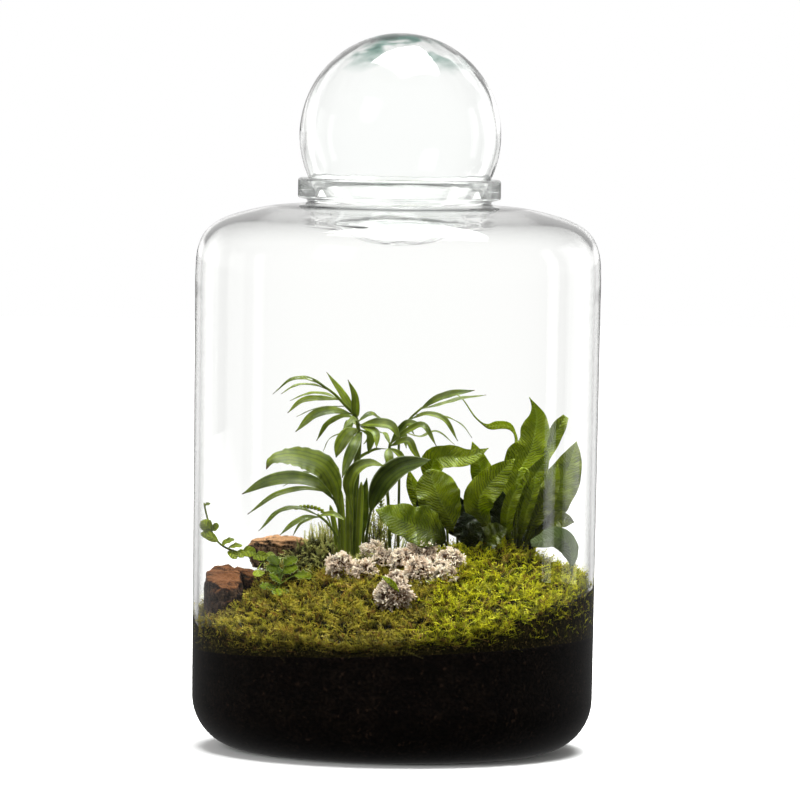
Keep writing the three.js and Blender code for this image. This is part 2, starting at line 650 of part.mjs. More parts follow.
const PALM_LEFT_CROWN_ROOT = [-31, 4];
const PALM_CROWN_LEAFLETS = [
  [3, "lance", UP, [-47, 0, 265], [-61, -7, 275], [-76, -14, 276], [-91, -18, 264]],
  [3, "lance", UP, [-57, -2, 272], [-69, 3, 275], [-79, 7, 273], [-89, 10, 266]],
  [3.4, "lance", UP, [-48.5, -0.5, 266.5], [-62, -5, 271], [-75, -8, 270], [-85, -11, 264]],
  [4.4, "lance", UP, [-42, 1, 260], [-54, 8, 264], [-67, 13, 263], [-79, 16, 258]],
  [5, "lance", FRONT, [-42, 1, 260], [-58, -6, 261], [-70, -10, 259], [-80, -14, 250]],
  [2.4, "lance", UP, [-38, 2, 255], [-50, 9, 254], [-61, 14, 252], [-74, 19, 246]],
  [7.5, "lance", FRONT, [-32, 3, 249], [-47, -5, 252], [-60, -9, 249], [-74, -13, 236]],
  [4.6, "lance", FRONT, [-30, 4, 247], [-40, 12, 247], [-51, 16, 241], [-59, 20, 228]],
  [6, "spear", FRONT, [-31.5, 4, 249.5], [-40, 6, 264], [-52, 9, 280]],
  [6.4, "spear", FRONT, [-30, 4, 246], [-31, 0, 263], [-36, -3, 275]],
  [6.8, "lance", UP, [-28, 4, 244], [-19, 8, 249], [-13, 12, 246], [-7, 16, 240]],
  [5, "lance", FRONT, [-27, 4, 242], [-31, -8, 246], [-39, -16, 239]],
  [8.5, "lance", FRONT, [-27, 4, 241], [-14, -4, 243], [-3, -8, 241], [3, -10, 232]],
  [6, "lance", FRONT, [-26, 4, 240], [-15, -9, 236], [-14, -16, 225]],
  [10.5, "lance", FRONT, [-27, 4, 238], [-35, -2, 235], [-41, -4, 226], [-44, -5, 217]],
  [8.5, "lance", FRONT, [-27, 4, 236], [-30, -12, 228], [-35, -19, 216], [-39, -24, 203]],
  [6.5, "lance", BACK, [-27, 4, 238], [-19, 12, 232], [-20, 15, 219]],
  [2.2, "lance", UP, [-28, 4, 234], [-39, 12, 234], [-49, 18, 230], [-54, 22, 220]],
  [7, "lance", BACK, [-28, 4, 240], [-33, 18, 243], [-36, 32, 237], [-38, 44, 226]],
];

function palmNodes() {
  const crownPath = rooted(...PALM_LEFT_CROWN_ROOT, [[-31, 4, 178], [-29, 5, 206], [-27, 4, 236]], 5);
  return {
    palm_left_crown: leafyStem({
      stems: [
        { path: crownPath, radius: 4.3, endRadius: 2.2, steps: 8, sides: 7 },
        { path: [[-27, 4, 232], [-30, 4, 247], [-38, 2, 256], [-47, 0, 265], [-62, -3, 275]],
          radius: 1.6, endRadius: 0.7, steps: 7, sides: 5 },
      ],
      leaflets: PALM_CROWN_LEAFLETS,
    }),
    palm_left_broad_leaf: blade({
      path: rooted(-40, -4, [[-42, -7, 181], [-46, -10, 199], [-54, -12, 210], [-69, -14, 216],
        [-82, -16, 217], [-92, -18, 214], [-95, -19, 208]], stipeHole),
      width: 20, form: "lance", face: [-0.15, -0.75, 0.6], stipe: 0.42, steps: 14, wave: 0.8, fold: 0.2,
    }),
    palm_left_long_leaf: leafyStem({
      stems: [{ path: rooted(-40, 10, [[-41, 10, 175], [-46, 10, 187]], 1.2 + ROOT_CLEARANCE), radius: 1.2 }],
      leaflets: [
        [11.5, "lance", FRONT, [-45, 10, 184], [-57, 10, 196], [-78, 12, 200], [-97, 15, 196],
          [-114, 18, 187]],
        [4.6, "lance", FRONT, [-50, 10, 190], [-66, 5, 193], [-88, 2, 188], [-109, 0, 173]],
      ],
    }),
    palm_left_low_frond: leafyStem({
      stems: [{ path: rooted(-38, -14, [[-42, -15, 157], [-49, -16, 168], [-57, -17, 175]],
        1 + ROOT_CLEARANCE), radius: 1 }],
      leaflets: [
        [6, "lance", UP, [-56, -17, 174], [-69, -18, 179], [-84, -19, 177], [-100, -21, 162]],
        [4.6, "lance", FRONT, [-55, -17, 173], [-65, -25, 173], [-75, -29, 168], [-84, -32, 160]],
        [4.8, "lance", UP, [-55, -17, 173], [-61, -9, 171], [-70, -6, 166], [-75, -4, 158]],
        [4.6, "lance", FRONT, [-56, -17, 174], [-46, -24, 176], [-37, -29, 172]],
      ],
    }),
    palm_left_side_leaf: blade({
      path: rooted(-31, -6, [[-33, -12, 184], [-34, -16, 199], [-29, -18, 209], [-19, -19, 214],
        [-8, -20, 212]], stipeHole),
      width: 10, form: "lance", face: FRONT, stipe: 0.5, steps: 12,
    }),
    palm_left_upright_leaf: blade({
      path: rooted(-23, 12, [[-23, 12, 169], [-23, 12, 186], [-21, 13, 201]], stipeHole),
      width: 8, form: "lance", face: FRONT, stipe: 0.4, steps: 8,
    }),
    palm_left_dark_leaf: blade({
      path: rooted(-22, -5, [[-18, -9, 176], [-14, -11, 190], [-7, -13, 202], [4, -15, 211], [26, -18, 217]],
        stipeHole),
      width: 17, form: "lance", face: [0.1, -0.9, 0.4], stipe: 0.4, steps: 12,
    }),
    palm_left_back_frond: leafyStem({
      stems: [{ path: rooted(-34, 17, [[-38, 22, 172], [-48, 34, 190], [-58, 44, 200]], 1.2 + ROOT_CLEARANCE),
        radius: 1.2, endRadius: 0.8 }],
      leaflets: [
        [6, "lance", BACK, [-56, 42, 199], [-66, 54, 202], [-74, 64, 194]],
        [5.5, "lance", BACK, [-50, 36, 192], [-52, 52, 198], [-54, 66, 192]],
        [5.5, "lance", BACK, [-52, 38, 194], [-68, 42, 200], [-84, 44, 192]],
      ],
    }),
    palm_right_crown: leafyStem({
      stems: [{ path: rooted(-3, 14, [[-5, 14, 184], [-7, 13, 206], [-4, 12, 228]], 1.3 + ROOT_CLEARANCE),
        radius: 1.3, endRadius: 1.1 }],
      leaflets: [
        [6, "lance", FRONT, [-4, 12, 227], [2, 10, 236], [9, 6, 243], [20, 2, 242]],
        [5.5, "lance", FRONT, [-4, 12, 227], [8, 2, 237], [20, -5, 242], [30, -10, 227]],
        [6, "lance", FRONT, [-5, 12, 225], [9, 6, 230], [14, 4, 222], [20, 2, 213]],
        [7, "lance", FRONT, [-5, 12, 224], [-5, 4, 218], [-3, 0, 208]],
        [5, "lance", FRONT, [-5, 12, 224], [3, 13, 219], [8, 13, 210]],
        [5.5, "lance", BACK, [-5, 12, 223], [-13, 23, 222], [-24, 29, 217], [-33, 33, 209]],
        [6, "lance", BACK, [-4, 12, 226], [-9, 24, 234], [-16, 34, 233], [-24, 42, 225]],
        [5.5, "lance", BACK, [-4, 12, 226], [3, 26, 234], [6, 38, 232], [8, 50, 222]],
      ],
    }),
    palm_right_tall_frond: leafyStem({
      stems: [{ path: rooted(3, 22, [[3, 22, 183], [3, 22, 206], [3, 22, 231], [9, 22, 244], [19, 22, 254]],
        1.2 + ROOT_CLEARANCE), radius: 1.2, endRadius: 0.8, steps: 8 }],
      leaflets: [
        [6.2, "lance", FRONT, [17, 22, 252], [28, 18, 260], [41, 15, 265], [58, 13, 268]],
        [5, "lance", UP, [18, 22, 253], [31, 25, 256], [49, 28, 261], [67, 29, 264]],
        [4.4, "lance", FRONT, [10, 22, 245], [23, 14, 250], [36, 10, 246], [46, 8, 230]],
        [2.2, "lance", UP, [14, 22, 249], [33, 32, 248], [49, 38, 241], [57, 41, 231]],
        [3.2, "lance", UP, [5, 22, 236], [18, 27, 232], [30, 31, 236], [44, 36, 226]],
        [3, "lance", BACK, [6, 22, 240], [8, 36, 242], [14, 48, 232]],
      ],
    }),
  };
}

// A single strap-shaped leaf that rises by the glass on the right and folds over
function edgeStrapSolid() {
  const path = rooted(131, -14, [[131, -14, 134], [131, -15, 146], [128, -14, 156], [119, -12, 160],
    [109, -10, 157], [101, -9, 155]], stipeHole);
  return blade({ path, width: 17, form: "cape", face: [-0.5, -0.8, 0.1], stipe: 0.3, steps: 12, wave: 0.8 });
}

// Small creepers: a thin stem with short leaves set along it
const leafFrom = (width, face, ...path) => ({ path, width, form: "round", face, steps: 3, flat: true });

function creepingFigSolid() {
  const path = rooted(-89, -4, [[-92, -5, 138], [-100, -6, 142], [-110, -8, 144], [-121, -11, 147],
    [-128, -13, 151], [-133, -13, 157], [-138, -12, 170], [-141, -9, 181]], 0.9 + ROOT_CLEARANCE);
  const leaves = [
    leafFrom(3, FRONT, [-141, -9, 179], [-139, -12, 180.5], [-136, -14, 181]),
    leafFrom(10, FRONT, [-134.5, -13, 161], [-138.5, -16, 165], [-142.5, -15, 168]),
    leafFrom(5, FRONT, [-134, -12, 161], [-132, -13, 164], [-131, -13, 167]),
    leafFrom(7.5, FRONT, [-130, -13, 153.5], [-136, -17, 157], [-142, -20, 159]),
    leafFrom(7.5, UP, [-127, -12.5, 150], [-124, -13, 153], [-118, -13, 155]),
    leafFrom(7.5, UP, [-123, -11.5, 148], [-119, -14, 150], [-112, -15, 150.5]),
    leafFrom(7, FRONT, [-121, -11, 147], [-119, -17, 144.5], [-116, -21, 141]),
    leafFrom(7, FRONT, [-117, -10, 145.5], [-114, -15, 145], [-111, -19, 142]),
    leafFrom(9.5, FRONT, [-113, -9, 144.5], [-109, -14, 146], [-102, -17, 145]),
    leafFrom(8.5, FRONT, [-104, -7, 142.5], [-100, -12, 143], [-93.5, -15, 141.5]),
    leafFrom(7, UP, [-98, -6, 141.5], [-94, -8, 143.5], [-88, -9, 143.5]),
    { ...leafFrom(9, FRONT, [-95, -5, 139.5], [-98, -15, 137], [-100, -25, 133], [-98, -34, 129]),
      stipe: 0.68, steps: 5 },
  ];
  return fuse([stem({ path, radius: 0.9, endRadius: 0.7, sides: 4, steps: 10 }), ...leaves.map(blade)]);
}

function ivySolid() {
  const path = rooted(-84, -34, [[-84, -35, 123], [-83, -37, 126]], 1 + ROOT_CLEARANCE);
  const hub = [-83.5, -36, 124];
  const tips = [
    [10, 0.6, [-86, -28, 137], [-91, -22, 144]],
    [11, 0.61, [-80, -25, 137], [-72, -20, 143]],
    [12, 0.47, [-81, -30, 131], [-71, -27, 137]],
    [12, 0.49, [-73, -33, 130], [-60, -32, 130]],
    [12, 0.41, [-84, -32, 131], [-93, -28, 137]],
    [11, 0.13, [-83, -37, 125], [-91, -41, 131]],
    [11, 0.36, [-87, -41, 123], [-97, -47, 122]],
    [12, 0.42, [-84, -44, 121], [-82, -55, 117]],
  ];
  const leaves = tips.map(([width, stipe, base, tip]) => {
    return { path: [hub, base, tip], width, form: "round", face: UP, steps: 5, flat: true, stipe };
  });
  return fuse([stem({ path, radius: 1, sides: 5, steps: 4 }), ...leaves.map(blade)]);
}

// A fine sprig of spike moss: short side twigs up a thin stem
function twigSprig(x, y, path, count, reach, seed) {
  const whole = rooted(x, y, path, 0.8 + ROOT_CLEARANCE);
  const curve = curveThrough(whole);
  const random = seeded(seed);
  const twigs = Array.from({ length: count }, (_, i) => {
    const s = 0.45 + (0.55 * (i + 0.5)) / count;
    const from = curve.getPointAt(s);
    const angle = i * 2.4 + random();
    const away = new THREE.Vector3(Math.cos(angle), Math.sin(angle), 0.9).multiplyScalar(reach);
    return stem({ path: [from.toArray(), from.clone().add(away).toArray()], radius: 0.6, endRadius: 0.45,
      sides: 3, steps: 1 });
  });
  return fuse([stem({ path: whole, radius: 0.8, endRadius: 0.6, sides: 4, steps: 6 }), ...twigs]);
}

// Beaded sprig: round seed heads along a thin arching stem
function beadedSprigSolid() {
  const path = rooted(-47, 22, [[-48, 22, 166], [-54, 23, 175], [-64, 24, 178], [-74, 25, 177]],
    0.8 + ROOT_CLEARANCE);
  const curve = curveThrough(path);
  const beads = Array.from({ length: 5 }, (_, i) => {
    const at = curve.getPointAt(0.6 + 0.09 * i);
    return solidOf(new THREE.OctahedronGeometry(1.5).translate(at.x, at.y, at.z + (i % 2 ? 0.5 : -0.4)));
  });
  return fuse([stem({ path, radius: 0.7, endRadius: 0.6, sides: 4, steps: 8 }), ...beads]);
}

// Lichen: round heads of stubby branches, one for each head
const LICHEN_HEADS = [
  [-39, -35, 136.5, 9.3], [-16, -17, 147.2, 7], [-8, -28, 142.3, 7.4], [-21, -43, 134.3, 7.4],
  [19, -24, 147, 10], [6, -39, 142, 7.6], [19, -52, 135, 9.6], [2, -59, 129, 6.6],
  [41, -36, 141, 9], [38, -54, 133, 7.2], [0, -94, 119, 11.3],
];

function lichenHead(x, y, z, radius, seed) {
  const random = seeded(seed);
  const ball = new THREE.IcosahedronGeometry(1, 1);
  ball.deleteAttribute("normal");
  ball.deleteAttribute("uv");
  const head = mergeVertices(ball, 1e-3);
  const place = head.attributes.position;
  const out = new THREE.Vector3();
  for (let i = 0; i < place.count; i += 1) {
    const reach = radius * ((i % 2 ? 0.98 : 0.68) + 0.1 * random());
    out.fromBufferAttribute(place, i).multiplyScalar(reach);
    place.setXYZ(i, x + out.x, y + out.y, z + 0.9 * out.z);
  }
  return solidOf(head);
}

// Putting it together
addNode("jar", jarSolid(), "glass", 0.03);
addNode("ball_stopper", ballSolid(), "glass", 0.03);

const palms = palmNodes();
Object.entries(palms).forEach(([name, solid]) => {
  addNode(name, solid, name === "palm_left_dark_leaf" ? "palm_dark" : "palm", 0.45);
});
Object.entries(FERN_LEAVES).forEach(([name, spec]) => {
  addNode(name, fernLeaf(spec), DARK_FERN.includes(name) ? "fern_dark" : "fern", 0.4);
});
addNode("fern_right_fiddlehead", fiddleheadSolid(), "fern", 0.4);
addNode("edge_strap_leaf", edgeStrapSolid(), "fern", 0.4);
addNode("creeping_fig", creepingFigSolid(), "fig", 0.45);
addNode("ivy_sprig", ivySolid(), "ivy", 0.4);
addNode("moss_sprig", twigSprig(-10, 24, [[-10, 24, 170], [-11, 25, 195]], 8, 3.6, 5), "moss_pale", 0.9);
addNode("beaded_sprig", beadedSprigSolid(), "fig", 0.5);

const holes = fuse(pockets);
const stonePockets = fuse([
  ...Object.values(STONES).map((spec) => stoneSolid({ ...spec, grow: GAP + 0.1 })),
  plugSolid(GAP),
]);
const soil = largest(soilSolid().subtract(holes).subtract(stonePockets));
const patches = mossPatches();
const moss = Object.fromEntries(Object.entries(patches).map(([name, solid]) => {
  return [name, largest(solid.subtract(holes).subtract(stonePockets))];
}));

addNode("soil", soil, "soil", 0.95);
addNode("moss_right_mound", moss.moss_right_mound, "moss_bright", 0.95);
addNode("moss_front_left", moss.moss_front_left, "moss_olive", 0.95);
addNode("moss_back_knoll", moss.moss_back_knoll, "moss_pale", 0.95);
addNode("root_plug", largest(plugSolid().subtract(holes)), "peat", 0.95);
addNode("rock_standing", stoneSolid(STONES.rock_standing), "rust_stone", 0.85);
addNode("rock_wedge", stoneSolid(STONES.rock_wedge), "rust_stone", 0.85);
addNode("rock_flat", stoneSolid(STONES.rock_flat), "dark_stone", 0.85);

// The heads of lichen lie in the hollows of the moss
const mossBelow = fuse(Object.values(moss)).translate([0, 0, GAP]);
LICHEN_HEADS.forEach(([x, y, z, radius], i) => {
  const head = largest(lichenHead(x, y, z, radius, 71 + 13 * i).subtract(mossBelow));
  addNode(`lichen_head_${i + 1}`, head, "lichen", 0.9);
});

export default object;
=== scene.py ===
"""A planted glass jar with a glass ball on its lip, dressed for rendering.

Lengths are millimetres until a mesh is made. +Z is up, -Y is the front, and the origin is the
middle of the jar's foot. The frame is loaded first, and every piece replaces the plain solid
that it stands for.
"""
import math

import bpy
import numpy as np
from mathutils import Matrix, Vector, noise


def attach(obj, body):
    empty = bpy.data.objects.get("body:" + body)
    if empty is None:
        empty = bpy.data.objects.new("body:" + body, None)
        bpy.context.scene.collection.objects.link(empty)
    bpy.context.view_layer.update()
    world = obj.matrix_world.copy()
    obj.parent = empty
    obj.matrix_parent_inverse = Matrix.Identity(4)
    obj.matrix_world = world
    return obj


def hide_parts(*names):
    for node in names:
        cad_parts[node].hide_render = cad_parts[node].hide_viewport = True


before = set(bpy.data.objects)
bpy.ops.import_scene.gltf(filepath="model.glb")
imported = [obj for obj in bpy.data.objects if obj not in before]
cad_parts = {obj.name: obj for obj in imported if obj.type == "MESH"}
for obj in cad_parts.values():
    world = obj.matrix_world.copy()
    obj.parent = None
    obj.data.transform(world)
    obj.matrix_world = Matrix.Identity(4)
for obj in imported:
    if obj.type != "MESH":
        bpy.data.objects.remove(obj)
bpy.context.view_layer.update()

MM = 0.001
RANDOM = np.random.default_rng(20)

# Sizes that the solids have too
FOOT_RADIUS, CORNER_RADIUS, INNER_CORNER_RADIUS = 109.5, 39.0, 31.0
FLOOR_THICKNESS, WALL_THICKNESS = 8.0, 4.0
WALL_LOW, WALL_HIGH, WALL_TOP = 148.5, 150.0, 352.0
LIP_TOP, LIP_OUTER, LIP_INNER = 422.5, 75.0, 67.75
BALL_RADIUS, BALL_HALF_HEIGHT, BALL_CENTRE, BALL_WALL, BLOW_HOLE = 74.5, 75.5, 454.6, 3.0, 5.0
INNER_WALL_LOW = WALL_LOW - WALL_THICKNESS
INNER_WALL_BOTTOM = FLOOR_THICKNESS + INNER_CORNER_RADIUS


# Meshes

def put_in_scene(name, data):
    made = bpy.data.objects.new(name, data)
    bpy.context.scene.collection.objects.link(made)
    return made


def mesh_piece(name, points, faces, material, replaced, uv=None, shade=None, smooth=True):
    """A piece made of points in millimetres. uv and shade give two and three numbers for each point."""
    points = np.asarray(points, float)
    mesh = bpy.data.meshes.new(name)
    mesh.from_pydata((points * MM).tolist(), [], [tuple(int(i) for i in face) for face in faces])
    mesh.update()
    mesh.polygons.foreach_set("use_smooth", [smooth] * len(mesh.polygons))
    if uv is not None:
        corners = np.zeros(len(mesh.loops), int)
        mesh.loops.foreach_get("vertex_index", corners)
        layer = mesh.uv_layers.new(name="blade")
        layer.data.foreach_set("uv", np.asarray(uv, float)[corners].ravel())
    if shade is not None:
        colour = np.ones((len(points), 4))
        colour[:, :3] = shade
        layer = mesh.color_attributes.new("shade", "FLOAT_COLOR", "POINT")
        layer.data.foreach_set("color", colour.ravel())
    mesh.materials.append(material)
    piece = put_in_scene(name, mesh)
    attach(piece, "root")
    if replaced:
        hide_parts(*replaced)
    return piece


class Builder:
    """Gathers the points and faces of one piece."""

    def __init__(self):
        self.points, self.faces, self.uv, self.shade, self.edge, self.count = [], [], [], [], [], 0

    def add(self, points, faces, shade, uv=None, edge=None):
        self.points.append(points)
        self.faces.extend([[i + self.count for i in face] for face in faces])
        self.shade.append(np.broadcast_to(shade, (len(points), 3)))
        self.uv.append(np.zeros((len(points), 2)) if uv is None else uv)
        self.edge.append(np.zeros(len(points)) if edge is None else edge)
        self.count += len(points)

    def piece(self, name, material, replaced, slot, smooth=True):
        return mesh_piece(name, np.vstack(self.points), self.faces, material, replaced,
                          np.vstack(self.uv), np.vstack(self.shade), smooth)


def ring_faces(rows, columns):
    """Four-cornered faces between rows of columns points, each row a closed ring."""
    row, column = np.meshgrid(np.arange(rows - 1), np.arange(columns), indexing="ij")
    row, column = row.ravel(), column.ravel()
    after = (column + 1) % columns
    return np.stack([row * columns + column, row * columns + after,
                     (row + 1) * columns + after, (row + 1) * columns + column], 1)


def tube_faces(rows, columns):
    """The same with one flat face at each end."""
    last = (rows - 1) * columns
    return [*ring_faces(rows, columns).tolist(), list(range(columns))[::-1],
            list(range(last, last + columns))]


# Steps between two points of a curve before it is divided evenly
FINE_STEPS = 24


def curve_through(points, count):
    """count points, and their directions, at equal steps along a centripetal spline."""
    p = np.asarray(points, float)
    p = np.vstack([2 * p[0] - p[1], p, 2 * p[-1] - p[-2]])
    t = np.linspace(0, 1, FINE_STEPS, endpoint=False)[:, None]
    parts = []
    for p0, p1, p2, p3 in zip(p, p[1:], p[2:], p[3:]):
        pairs = (p0, p1), (p1, p2), (p2, p3)
        d0, d1, d2 = [max(float(np.sum((b - a) ** 2)) ** 0.25, 1e-4) for a, b in pairs]
        m1 = ((p1 - p0) / d0 - (p2 - p0) / (d0 + d1) + (p2 - p1) / d1) * d1
        m2 = ((p2 - p1) / d1 - (p3 - p1) / (d1 + d2) + (p3 - p2) / d2) * d1
        square, cube = 3 * (p2 - p1) - 2 * m1 - m2, 2 * (p1 - p2) + m1 + m2
        parts.append(p1 + m1 * t + square * t ** 2 + cube * t ** 3)
    dense = np.vstack([*parts, p[-2:-1]])
    along = np.concatenate([[0], np.cumsum(np.linalg.norm(np.diff(dense, axis=0), axis=1))])
    at = np.linspace(0, along[-1], count)
    places = np.stack([np.interp(at, along, dense[:, k]) for k in range(3)], 1)
    ways = np.gradient(places, axis=0)
    return places, ways / np.linalg.norm(ways, axis=1)[:, None], along[-1]


def frame_along(ways, toward):
    """The sideways direction and the upright one at each step of a path that faces toward."""
    side = np.cross(ways, toward)
    side /= np.linalg.norm(side, axis=1)[:, None]
    return side, np.cross(side, ways)


def smooth_noise(points, scale, seed=0.0):
    """Soft noise of about -1 to 1 at each point, with lumps of about scale millimetres."""
    return np.array([noise.noise(Vector(q) / scale + Vector((seed, 0.0, 0.0))) for q in points])


# Materials

class Material:
    """A short way to write the nodes of a material or of the world."""

    def __init__(self, owner):
        self.material = bpy.data.materials.new(owner) if isinstance(owner, str) else owner
        self.material.use_nodes = True
        self.tree = self.material.node_tree
        self.tree.nodes.clear()
        kind = "OutputWorld" if isinstance(owner, bpy.types.World) else "OutputMaterial"
        self.output = self.node(kind)

    def node(self, kind, **inputs):
        made = self.tree.nodes.new("ShaderNode" + kind)
        for name, value in inputs.items():
            self.set(made, name, value)
        return made

    def set(self, made, name, value):
        """Sets a property or a socket. i and a number stand for the socket of that number."""
        if hasattr(made, name) and name not in made.inputs:
            setattr(made, name, value)
            return
        key = int(name[1:]) if name[0] == "i" and name[1:].isdigit() else name.replace("_", " ")
        socket = made.inputs[key]
        if isinstance(value, bpy.types.NodeSocket):
            self.tree.links.new(value, socket)
        else:
            socket.default_value = value

    def math(self, operation, a, b=0.0, c=0.0, clamp=False):
        return self.node("Math", operation=operation, use_clamp=clamp, i0=a, i1=b, i2=c).outputs[0]

    def times(self, a, b):
        return self.math("MULTIPLY", a, b)

    def plus(self, a, b):
        return self.math("ADD", a, b)

    def minus(self, a, b):
        return self.math("SUBTRACT", a, b)

    def blend(self, share, low, high):
        """low where share is 0 and high where it is 1, each of them a number or a socket."""
        sockets = [value for value in (low, high) if isinstance(value, bpy.types.NodeSocket)]
        return self.math("MULTIPLY_ADD", share, self.minus(high, low) if sockets else high - low, low)

    def ramp(self, value, low, high):
        """A smooth step from 0 at low to 1 at high."""
        return self.node("MapRange", interpolation_type="SMOOTHSTEP", Value=value, From_Min=low,
                         From_Max=high).outputs[0]

    def mix(self, factor, a, b):
        return self.node("Mix", data_type="RGBA", i0=factor, i6=a, i7=b).outputs[2]

    def toned(self, colour, **change):
        return self.node("HueSaturation", Color=colour, **change).outputs[0]

    def place(self):
        return self.node("TexCoord").outputs["Object"]

    def stretched(self, *scale):
        return self.node("VectorMath", operation="MULTIPLY", i0=self.place(), i1=scale).outputs[0]

    def xyz(self, vector=None):
        return self.node("SeparateXYZ", Vector=vector or self.place()).outputs[:3]

    def noise(self, scale, detail, vector=None):
        return self.node("TexNoise", Scale=scale, Detail=detail, Vector=vector or self.place()).outputs["Fac"]

    def shade(self):
        """The three numbers that each point of the piece carries."""
        colour = self.node("Attribute", attribute_name="shade").outputs["Color"]
        return self.node("SeparateColor", Color=colour).outputs[:3]

    def bump(self, height, strength, distance):
        return self.node("Bump", Height=height, Strength=strength, Distance=distance).outputs[0]

    def principled(self, **inputs):
        return self.node("BsdfPrincipled", **inputs).outputs[0]

    def shader_mix(self, share, a, b):
        return self.node("MixShader", i0=share, i1=a, i2=b).outputs[0]

    def surface(self, shader):
        self.tree.links.new(shader, self.output.inputs["Surface"])
        return self.material

    def thin_surface(self, glow, colour, lit, roughness, shine, **relief):
        """A leaf or a twig. The share glow of its light comes through it, in the colour lit."""
        face = self.principled(Base_Color=colour, Roughness=roughness, Specular_IOR_Level=shine, **relief)
        through = self.node("BsdfTranslucent", Color=lit, **relief).outputs[0]
        return self.surface(self.shader_mix(glow, face, through))


def rgb(red, green, blue):
    return (red, green, blue, 1.0)


GLASS_IOR = 1.45
# The share of the reflection that glass keeps where it is looked at squarely
FAINT = rgb(0.12, 0.12, 0.12)
SEEN_OPEN = rgb(0.97, 0.985, 0.975)
# The lip gets clearer by this share, over this height in metres
LIP_CLEARER, LIP_FADE = 0.18, 0.003
WISPS_FROM, WISPS_FULL = 0.498, 0.524


def glass_material(name, tint, streak=None, clear_from=1.0):
    """Clear glass. streak is the colour of the greenish wisps near the top of a blown piece.

    Above the height clear_from the glass bends and mirrors less, as the thin lip in the photo does.
    """
    m = Material(name)
    high = m.xyz()[2]
    if streak:
        wisps = m.ramp(m.noise(75.0, 2.0, m.stretched(0.45, 0.45, 1.0)), 0.52, 0.66)
        tint = m.mix(m.times(wisps, m.ramp(high, WISPS_FROM, WISPS_FULL)), tint, streak)
    clear = m.principled(Base_Color=tint, Roughness=0.0, IOR=GLASS_IOR, Transmission_Weight=1.0,
                         Specular_Tint=FAINT)
    path = m.node("LightPath")
    through = m.math("MAXIMUM", path.outputs["Is Shadow Ray"], path.outputs["Is Diffuse Ray"])
    lip = m.times(m.ramp(high, clear_from, clear_from + LIP_FADE), LIP_CLEARER)
    open_way = m.node("BsdfTransparent", Color=SEEN_OPEN).outputs[0]
    return m.surface(m.shader_mix(m.math("MAXIMUM", through, lip), clear, open_way))


# Millimetres for one unit of uv
UV_SPAN = 100
# On leaves, in millimetres: ribs and how far they slant and wander, lengthwise veins, and pleats
RIB_PITCH, RIB_SLANT, RIB_WANDER = 2.6, 0.85, 3.0
VEIN_PITCH, PLEAT_PITCH, PLEAT_WANDER = 0.8, 3.0, 3.0
# Colours of a pale leaf margin (a painted highlight on the palms), a dead leaf tip, and the painted shade
# deep in the moss
PALE_MARGIN, DEAD_TIP, MOSS_PAINTED_SHADE = rgb(0.5, 0.56, 0.3), rgb(0.11, 0.05, 0.012), rgb(0.006, 0.005, 0.002)


